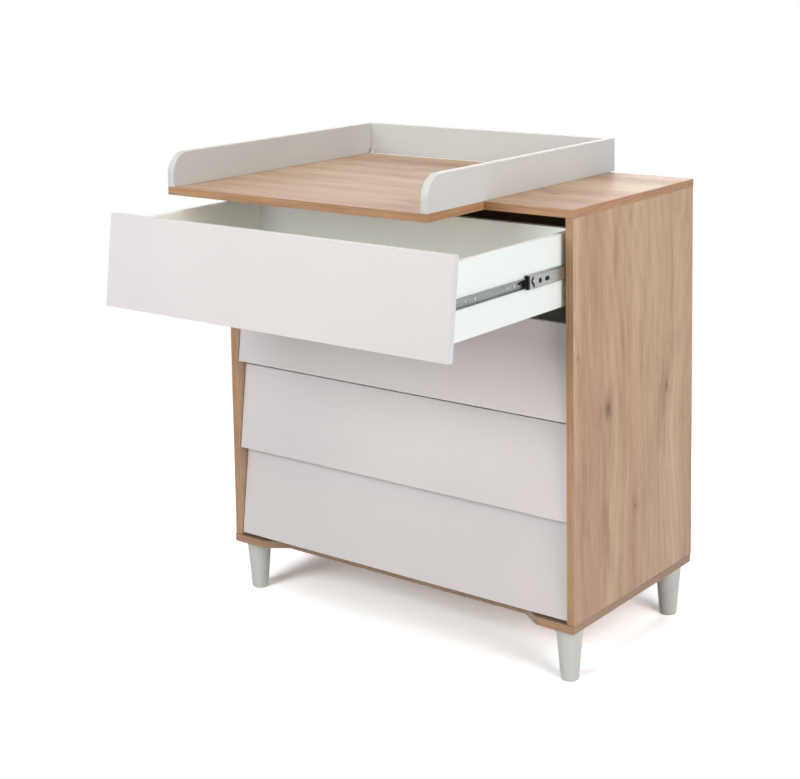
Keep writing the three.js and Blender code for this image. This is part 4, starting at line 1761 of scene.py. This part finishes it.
@dataclass
class BallSlide:
    """A telescopic slide beside a drawer: chest, middle and drawer channels, balls and stop.

    A section is measured as (u, w): u out from the drawer's side to the chest's, and w up from the
    axis.
    """

    number: int
    side: Side
    thickness: float = 12.7 * MM
    sheet: float = 1.2 * MM
    length: float = 450 * MM
    middle_length: float = 417.5 * MM
    chest_height: float = 35 * MM
    middle_height: float = 30 * MM
    drawer_height: float = 20.6 * MM
    web_gap: float = 0.3 * MM
    cell_half: float = 6.5 * MM
    long_cell_half: float = 10 * MM
    screw_radius: float = 3.3 * MM
    screw_height: float = 0.05 * MM
    screw_steps: int = 20
    screw_shares: tuple[float, ...] = (0.07, 0.5, 0.93)
    chest_holes: tuple[SheetHole, ...] = (
        SheetHole(0.07),
        SheetHole(0.14, 2 * MM, tall=1.9),
        SheetHole(0.5),
        SheetHole(0.93),
    )
    middle_holes: tuple[SheetHole, ...] = (
        SheetHole(0.085, 4.6 * MM, tall=1.1, long=1.3),
        SheetHole(0.143, 4.5 * MM, long=1.9),
        SheetHole(0.45),
        SheetHole(0.8),
    )
    drawer_holes: tuple[SheetHole, ...] = (
        SheetHole(0.08),
        SheetHole(0.15, 2 * MM, tall=2.2),
        SheetHole(0.4),
        SheetHole(0.45, 2 * MM, tall=2.2),
        SheetHole(0.92),
    )
    outer_ball: float = 3.2 * MM
    inner_ball: float = 4 * MM
    ball_gap: float = 0.3 * MM
    ball_sink: float = 0.05 * MM
    balls_in_row: int = 11
    ball_steps: int = 10
    ball_pole: float = 0.02
    row_end: float = 12 * MM
    outer_row: float = 199 * MM
    inner_row: float = 158 * MM
    outer_cage_half: float = 1.45 * MM
    inner_cage_half: float = 1.6 * MM
    cage_half_sheet: float = 0.2 * MM
    cage_end: float = 4 * MM
    cage_corner: float = 0.8 * MM
    cage_rim: float = 0.08 * MM
    block_rim: float = 0.3 * MM
    pad_rim: float = 0.2 * MM
    pad_corner: float = 1.2 * MM
    pad_root: float = 0.3 * MM
    pad_rise: float = 0.24 * MM
    pads: tuple[tuple[Pair, Pair], ...] = (
        ((46.5, 50.5), (0.5, 7.5)),
        ((74.5, 86.5), (-0.6, 9.5)),
    )
    stop_thickness: float = 5.5 * MM
    foot_rise: float = 2.4 * MM
    groove_play: float = 0.5 * MM
    lever_reach: float = 22.5
    lever_corner: float = 0.55 * MM
    lever_faces: Pair = (0.4 * MM, 3 * MM)
    root_length: float = 6.5 * MM
    root_overlap: float = 1 * MM
    root_half: float = 7.6 * MM
    root_corner: float = 1.2 * MM
    plate_corner: float = 1.2 * MM
    upper_tab_corner: float = 0.8 * MM
    lower_tab_corner: float = 0.6 * MM
    # A black sheet behind the middle web, painted shade seen through its holes.
    liner_length: float = 80 * MM
    liner_faces: Pair = (0.1 * MM, 1.1 * MM)
    liner_corner: float = 1 * MM
    spring_half: float = 2.7 * MM
    spring_steps: int = 33
    spring_rim: float = 0.05 * MM
    spring_root: float = 0.05 * MM
    spring_rise: float = 0.2 * MM
    lever: tuple[Pair, ...] = (
        (0, 8),
        (-6.4, 8),
        (-12.9, 7.6),
        (-12.3, 6.3),
        (-9.6, 6),
        (-9.6, 4.4),
        (-18.7, 4.2),
        (-21.7, 3.2),
        (-22.5, 1.4),
        (-20.4, 0.2),
        (-17.5, 0.7),
        (-10.6, 1.6),
        (-8.8, -0.6),
        (-11, -2.7),
        (-7, -5.4),
        (-1.2, -7.6),
        (0, -8),
    )
    spring: tuple[Pair, ...] = (
        (11.4, 12),
        (8, 11.4),
        (5.7, 8),
        (2, 7.4),
        (-1.5, 10.5),
        (-4, 13.6),
        (-10.5, 15.6),
    )

    def __post_init__(self) -> None:
        """Works out the section's levels, which the three channels share."""
        low, high = AT.box(self.node("chest"))
        self.axis = float(low[2] + high[2]) / 2
        outer = AT.inner_outer(self.node("chest"), self.side)[1]
        self.drawer_face = float(outer) - self.side.value * self.thickness
        self.chest_flange = (self.chest_height - self.sheet) / 2
        self.chest_web = self.thickness - self.sheet / 2
        self.middle_web = self.chest_web - self.sheet - self.web_gap
        self.middle_flange = (self.middle_height - self.sheet) / 2
        self.outer_race = self.chest_flange - self.sheet - self.outer_ball
        self.inner_race = self.middle_flange - self.sheet - self.inner_ball
        self.drawer_flange = (self.drawer_height - self.sheet) / 2
        self.outer_ball_at = self.middle_web - self.outer_ball / 2
        self.inner_ball_at = self.inner_ball + self.sheet / 2

    def node(self, channel: str) -> str:
        """A CAD node's name on this slide."""
        return f"slide_{self.number}_{self.side.word}_{channel}_channel"

    def name(self, piece: str) -> str:
        """A piece's name on this slide."""
        return f"level_{self.number}_{self.side.word}_{piece}"

    @property
    def drawer_body(self) -> str:
        """The CAD body of the drawer."""
        return f"drawer_{self.number}"

    @property
    def middle_body(self) -> str:
        """The CAD body of the drawer's two middle channels."""
        return f"drawer_{self.number}_slide_middles"

    def to_x(self, u: Array | float) -> Array | float:
        """X of a distance from the drawer's side."""
        return self.drawer_face + self.side.value * u

    def steel(self, part: str) -> Pair:
        """Y of a channel's steel, without its plastic stop.

        Args:
            part: which channel.

        Returns:
            The front and the rear end.
        """
        low, high = AT.box(self.node(part))
        length = self.middle_length if part == "middle" else float(high[1] - low[1])
        return float(high[1]) - length, float(high[1])

    def channel(
        self, part: str, upper: list[Pair], holes: tuple[SheetHole, ...], cell_half: float
    ) -> Patchwork:
        """One channel's sheet.

        Args:
            part: which channel it is.
            upper: the upper half of its section's centre line, which is mirrored below the axis.
            holes: the holes in its web.
            cell_half: half the length of the cell round each hole.

        Returns:
            The closed surface.
        """
        half = np.array(upper)
        line = np.concatenate([half, (half * np.array([1, -1]))[::-1]])
        front, rear = self.steel(part)
        made = PiercedChannel(line, front, rear, holes, self.length, self.sheet, cell_half)
        return made.surface(self.to_x, self.axis)

    def block(
        self, u: Pair, y: Pair, w: Pair, corner: float, rim: float | None = None
    ) -> Patchwork:
        """A small block with rounded corners.

        Args:
            u: its two limits out from the drawer's side.
            y: its limits along Y.
            w: its limits above the axis.
            corner: radius of its corners, seen from the side.
            rim: radius along its faces' rims.

        Returns:
            The closed surface.
        """
        plan = rectangle((y[0], self.axis + w[0]), (y[1], self.axis + w[1]))
        ends = sorted(self.to_x(limit) for limit in u)
        return swept(softened(plan, corner), Axis.X, *ends, rim or self.block_rim, 2)

    def chest_channel(self) -> Piece:
        """The channel screwed to the chest.

        Returns:
            The piece.
        """
        sheet, at, ball = self.sheet, self.outer_ball_at, self.outer_ball
        upper = [
            (at - ball, self.chest_flange - sheet),
            (at - ball / 2 - sheet / 4, self.chest_flange),
            (self.chest_web - sheet, self.chest_flange),
            (self.chest_web, self.chest_flange - sheet),
        ]
        surface = self.channel("chest", upper, self.chest_holes, self.cell_half)
        x, front = self.to_x(self.chest_web - sheet / 2), self.steel("chest")[0]
        places = np.array([(x, front + s * self.length, self.axis) for s in self.screw_shares])
        head = ScrewHead(self.screw_radius, self.screw_height, Recess.CROSS, self.screw_steps)
        surface.joined(head.surface(Axis.X, -self.side.value, places), 1)
        name, finishes = self.name("chest_channel"), (ZINC, SCREW_STEEL)
        return Piece(name, surface, finishes, "zinc_steel", self.node("chest"))

    def middle_channel(self) -> Piece:
        """The channel between, whose races hold the balls, with two pads pressed into its web.

        A pad is given by its limits behind the steel's front and above the axis.

        Returns:
            The piece.
        """
        sheet, inner, ball = self.sheet, self.inner_ball_at, self.inner_ball
        shoulder = self.outer_ball_at - self.outer_ball / 2 + sheet / 4
        upper = [
            (inner - ball / 2 - sheet, self.middle_flange - sheet / 2),
            (inner - ball / 2, self.middle_flange),
            (inner + ball / 2 - sheet / 4, self.middle_flange),
            (shoulder, self.outer_race),
            (self.middle_web, self.outer_race),
        ]
        surface = self.channel("middle", upper, self.middle_holes, self.long_cell_half)
        front = self.steel("middle")[0]
        face = self.middle_web + sheet / 2
        faces = (face - self.pad_root, face + self.pad_rise)
        for behind, above in self.pads:
            y, w = front + np.array(behind) * MM, np.array(above) * MM
            surface.joined(self.block(faces, y, w, self.pad_corner, self.pad_rim))
        name, node = self.name("middle_channel"), self.node("middle")
        return Piece(name, surface, (ZINC_MIDDLE,), "zinc_steel", node, body=self.middle_body)

    def drawer_channel(self) -> Piece:
        """The channel screwed to the drawer's side.

        Returns:
            The piece.
        """
        inner, ball = self.inner_ball_at, self.inner_ball
        upper = [
            (inner + ball / 2, self.drawer_flange),
            (inner + ball / 4, self.inner_race),
            (inner - ball / 4, self.inner_race),
            (inner - ball / 2, self.drawer_flange),
            (self.sheet / 2, self.drawer_flange),
        ]
        surface = self.channel("drawer", upper, self.drawer_holes, self.cell_half)
        name, node = self.name("drawer_channel"), self.node("drawer")
        return Piece(name, surface, (ZINC,), "zinc_steel", node, body=self.drawer_body)

    def ball(self) -> Array:
        """A ball of radius one: (sin b cos a, sin b sin a, cos b) on a grid of a and b.

        Returns:
            (m, n, 3) points.
        """
        turn = np.linspace(0, math.tau, self.ball_steps, endpoint=False)[None, :, None]
        pole = self.ball_pole
        tip = np.linspace(pole, math.pi - pole, self.ball_steps // 2 + 2)[:, None, None]
        round_it = (np.sin(tip) * np.cos(turn), np.sin(tip) * np.sin(turn))
        return np.concatenate([*round_it, np.cos(tip) + 0 * turn], -1)

    def ball_rows(self) -> tuple[Patchwork, Patchwork]:
        """The balls in their four rows, and the cage strip that each row runs in.

        Returns:
            The balls, and the cages.
        """
        front, rear = self.steel("middle")
        outer_run = (rear - self.row_end - self.outer_row, rear - self.row_end)
        inner_run = (front + self.row_end, front + self.row_end + self.inner_row)
        outer, inner = ((d - self.ball_gap) / 2 for d in (self.outer_ball, self.inner_ball))
        outer_rise = self.outer_race + self.sheet / 2 + (outer + self.ball_sink)
        inner_rise = self.middle_flange - self.sheet / 2 - (inner + self.ball_sink)
        rows = (
            (self.outer_ball_at, outer_rise, outer, outer_run, self.outer_cage_half),
            (self.inner_ball_at, inner_rise, inner, inner_run, self.inner_cage_half),
        )
        ball, balls, cages = self.ball(), Patchwork(), Patchwork()
        for at, rise, radius, run, cage_half in rows:
            x = self.to_x(at)
            low = (x - cage_half, run[0] - self.cage_end)
            high = (x + cage_half, run[1] + self.cage_end)
            strip = softened(rectangle(low, high), self.cage_corner)
            for z in (self.axis - rise, self.axis + rise):
                places = np.array([(x, y, z) for y in np.linspace(*run, self.balls_in_row)])
                balls.joined(Patchwork().tube(ball * radius).copies(places))
                faces = (z - self.cage_half_sheet, z + self.cage_half_sheet)
                cages.joined(swept(strip, Axis.Z, *faces, self.cage_rim, 1))
        return balls, cages

    def stop_lever(self, face: float) -> Patchwork:
        """The stop's hooked lever, which runs in the drawer's channel, and the pad at its root.

        Its outline is given as the distance in front of the stop, which is stretched so that the
        hook's tip is the CAD node's, and the height.

        Args:
            face: Y of the stop's front.

        Returns:
            The closed surfaces.
        """
        reach = (face - float(AT.low(self.node("middle"))[1])) / self.lever_reach
        outline = np.array([face, self.axis]) + np.array([reach, MM]) * np.array(self.lever)
        limits = [self.sheet + limit for limit in self.lever_faces]
        ends = sorted(self.to_x(limit) for limit in limits)
        hook = softened(outline, self.lever_corner, 4)
        root = (limits[0], self.inner_ball_at + self.inner_ball / 2 + self.sheet)
        made = swept(hook, Axis.X, *ends, self.block_rim, 2)
        along = (face - self.root_length, face + self.root_overlap)
        high = (-self.root_half, self.root_half)
        return made.joined(self.block(root, along, high, self.root_corner))

    def stop_spring(self, front: float, web: float) -> Patchwork:
        """The wavy spring on the web.

        Its middle line is given as height and distance behind the steel's front, and is laid off by
        half its width to each side.

        Args:
            front: Y of the steel's front.
            web: how far the web's face is from the drawer's side.

        Returns:
            The closed surface.
        """
        bends = np.array(self.spring) * MM
        rise = np.linspace(*bends[[0, -1], 0], self.spring_steps + 1)
        wave = front + np.interp(-rise, -bends[:, 0], bends[:, 1])
        band = np.stack([wave, self.axis + rise], 1)
        run = np.gradient(band, axis=0)
        run /= np.linalg.norm(run, axis=1, keepdims=True)
        off = np.stack([run[:, 1], -run[:, 0]], 1) * self.spring_half
        outline = np.concatenate([band + off, (band - off)[::-1]])
        limits = (web - self.spring_root, web + self.spring_rise)
        ends = sorted(self.to_x(limit) for limit in limits)
        return swept(outline, Axis.X, *ends, self.spring_rim, 1)

    def stop(self) -> Patchwork:
        """The black plastic stop: a plate, two tabs, lever, spring, and a black sheet of painted
        shade.

        Returns:
            The closed surfaces.
        """
        front = self.steel("middle")[0]
        face = front - self.stop_thickness
        thick = (face, front)
        inner = self.inner_ball_at + self.inner_ball / 2 + self.sheet
        tabs = (self.inner_ball_at - self.inner_ball / 2, inner)
        web = self.middle_web + self.sheet / 2
        half = self.middle_height / 2
        foot = half - self.foot_rise
        groove = self.inner_race + self.sheet + self.groove_play
        made = self.block((inner, web), thick, (-foot, half), self.plate_corner)
        made.joined(self.block(tabs, thick, (groove, half), self.upper_tab_corner))
        made.joined(self.block(tabs, thick, (-foot, -groove), self.lower_tab_corner))
        made.joined(self.stop_lever(face))
        # The black sheet behind the web is painted shade, so the holes look dark.
        skin = self.middle_web - self.sheet / 2
        shade_sheet = (skin - self.liner_faces[0], skin - self.liner_faces[1])
        along, high = (front, front + self.liner_length), (-self.outer_race, self.outer_race)
        made.joined(self.block(shade_sheet, along, high, self.liner_corner))
        return made.joined(self.stop_spring(front, web))

    def running_gear(self) -> Piece:
        """Balls, cages and stop, which ride with the middle channel.

        Returns:
            The piece.
        """
        balls, cages = self.ball_rows()
        surface = self.stop().joined(balls, 1).joined(cages, 2)
        name, finishes = self.name("running_gear"), (STOP_BLACK, BALL_STEEL, ZINC)
        return Piece(name, surface, finishes, "zinc_steel", body=self.middle_body)

    def build(self) -> None:
        """Builds the slide's pieces."""
        channels = (self.chest_channel(), self.middle_channel(), self.drawer_channel())
        for piece in (*channels, self.running_gear()):
            piece.build()


@dataclass(frozen=True)
class Lamp:
    """A square lamp aimed at a point: its side in metres, its power and its colour."""

    name: str
    place: Point
    aim: Point
    size: float
    watts: float
    colour: Colour


@dataclass
class Studio:
    """A pale floor, soft lamps and the camera at the photograph's place."""

    camera_place: Point = (2.22061, -2.92096, 1.55994)
    camera_forward: Point = (-0.617957, 0.776796, -0.121313)
    camera_right: Point = (0.783832, 0.620705, -0.018248)
    focal_pixels: float = 1659.07
    centre_pixel: Pair = (366.61, 147.88)
    sensor_width: float = 36.0
    clip: Pair = (0.05, 60)
    ambient: float = 0.01
    floor_half: float = 12.0
    floor_colour: Colour = (0.5, 0.5, 0.5)
    floor_seen: Colour = (1.92, 1.97, 2.01)
    white_from: Pair = (1.1, 2.2)
    lamps: tuple[Lamp, ...] = (
        Lamp("front", (-0.8, -3.2, 1.9), (0, -0.2, 0.6), 1.5, 75, (0.905, 0.952, 1)),
        Lamp("front_low", (-0.9, -4.6, 1.7), (0, -0.2, 0.6), 2.4, 11, (1, 0.877, 0.772)),
        Lamp("right", (3.8, -1.4, 2.4), (0, 0, 0.5), 2.4, 57, (1, 0.877, 0.772)),
        Lamp("right_low", (3.9, -1, 1), (0, 0, 0.5), 1.8, 50, (1, 0.926, 0.926)),
        Lamp("right_high", (3.2, 0.5, 3.2), (0.2, 0, 0.6), 2, 35, (0.772, 0.877, 1)),
        Lamp("top", (0, -0.6, 4.2), (0, 0, 0.6), 3, 72, (1, 0.909, 0.873)),
        Lamp("behind", (-2.6, 3.8, 2.6), (0, 0, 0.6), 2.4, 26, (1, 0.943, 0.934)),
        Lamp("behind_low", (-0.6, 3.2, 1.3), (0, 0.3, 0.55), 1.2, 24, (1, 0.97, 0.95)),
    )

    def camera(self) -> None:
        """Sets the camera from its place and axes, and its focal length and centre in pixels."""
        data = bpy.data.cameras.new("photo_camera")
        data.sensor_width = self.sensor_width
        data.lens = self.sensor_width * self.focal_pixels / PHOTO_WIDTH
        data.shift_x = (PHOTO_WIDTH / 2 - self.centre_pixel[0]) / PHOTO_WIDTH
        data.shift_y = (self.centre_pixel[1] - PHOTO_HEIGHT / 2) / PHOTO_WIDTH
        data.clip_start, data.clip_end = self.clip
        right, forward = Vector(self.camera_right), Vector(self.camera_forward)
        axes = Matrix((right, right.cross(forward).normalized(), -forward)).transposed()
        camera = bpy.data.objects.new("photo_camera", data)
        camera.matrix_world = Matrix.Translation(self.camera_place) @ axes.to_4x4()
        bpy.context.scene.collection.objects.link(camera)
        bpy.context.scene.camera = camera

    def world(self) -> None:
        """A white backdrop for the eye over an even, soft sky for the light."""
        world = bpy.data.worlds.new("studio")
        world.use_nodes = True
        bpy.context.scene.world = world
        sheet = NodeSheet(world.node_tree)
        sheet.nodes.remove(sheet.nodes["Background"])
        sky, backdrop = (
            sheet.put("Background", {"Color": (1, 1, 1, 1), "Strength": strength})
            for strength in (self.ambient, 1.0)
        )
        output = sheet.nodes["World Output"].inputs["Surface"]
        sheet.links.new(sheet.mixed(sheet.seen(), sky, backdrop), output)

    def floor(self) -> None:
        """The floor.

        For the eye it keeps the object's shadow, with distance it turns to plain white, and from
        below it isn't there.
        """
        corner = (self.floor_half, self.floor_half)
        points = laid(Axis.Z, rectangle((-corner[0], -corner[1]), corner), 0.0)
        mesh = Patchwork().patch(points, [[0, 1, 2, 3]]).mesh("floor")
        sheet = ShaderSheet("floor_paper", roughness=0.9, colour=self.floor_colour)
        shadowed = sheet.put("BsdfDiffuse", {"Color": (*self.floor_seen, 1)})
        distance = sheet.put("VectorMath", {0: sheet.point()}, "Value", operation="LENGTH")
        far = sheet.between(distance, *self.white_from)
        for_the_eye = sheet.mixed(far, shadowed, sheet.put("Emission", {}))
        both = sheet.mixed(sheet.seen(), sheet.shader.outputs[0], for_the_eye)
        below = sheet.put("NewGeometry", {}, "Backfacing")
        clear = sheet.put("BsdfTransparent", {})
        sided = sheet.mixed(sheet.scaled(below, by=sheet.seen()), both, clear)
        sheet.links.new(sided, sheet.nodes["Material Output"].inputs["Surface"])
        mesh.materials.append(sheet.material)
        plane = bpy.data.objects.new("floor", mesh)
        bpy.context.scene.collection.objects.link(plane)

    def lights(self) -> None:
        """Large square lamps, each aimed at a point of the dresser."""
        for lamp in self.lamps:
            data = bpy.data.lights.new(lamp.name, "AREA")
            data.size = lamp.size
            data.energy = lamp.watts
            data.color = lamp.colour
            made = bpy.data.objects.new(lamp.name, data)
            made.location = lamp.place
            aim = Vector(lamp.aim) - Vector(lamp.place)
            made.rotation_euler = aim.to_track_quat("-Z", "Y").to_euler()
            bpy.context.scene.collection.objects.link(made)

    def build(self) -> None:
        """Sets up the studio."""
        bpy.context.scene.view_settings.view_transform = "Standard"
        self.camera()
        self.world()
        self.floor()
        self.lights()


def main() -> None:
    """Builds the dresser and its studio."""
    logging.basicConfig(level=logging.INFO, format="%(name)s: %(message)s")
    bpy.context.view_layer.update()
    Chest().build()
    Legs().build()
    ChangingFrame().build()
    for number in range(1, DRAWERS + 1):
        Drawer(number).build()
        for side in Side:
            BallSlide(number, side).build()
    Studio().build()


if __name__ == "__main__":
    main()
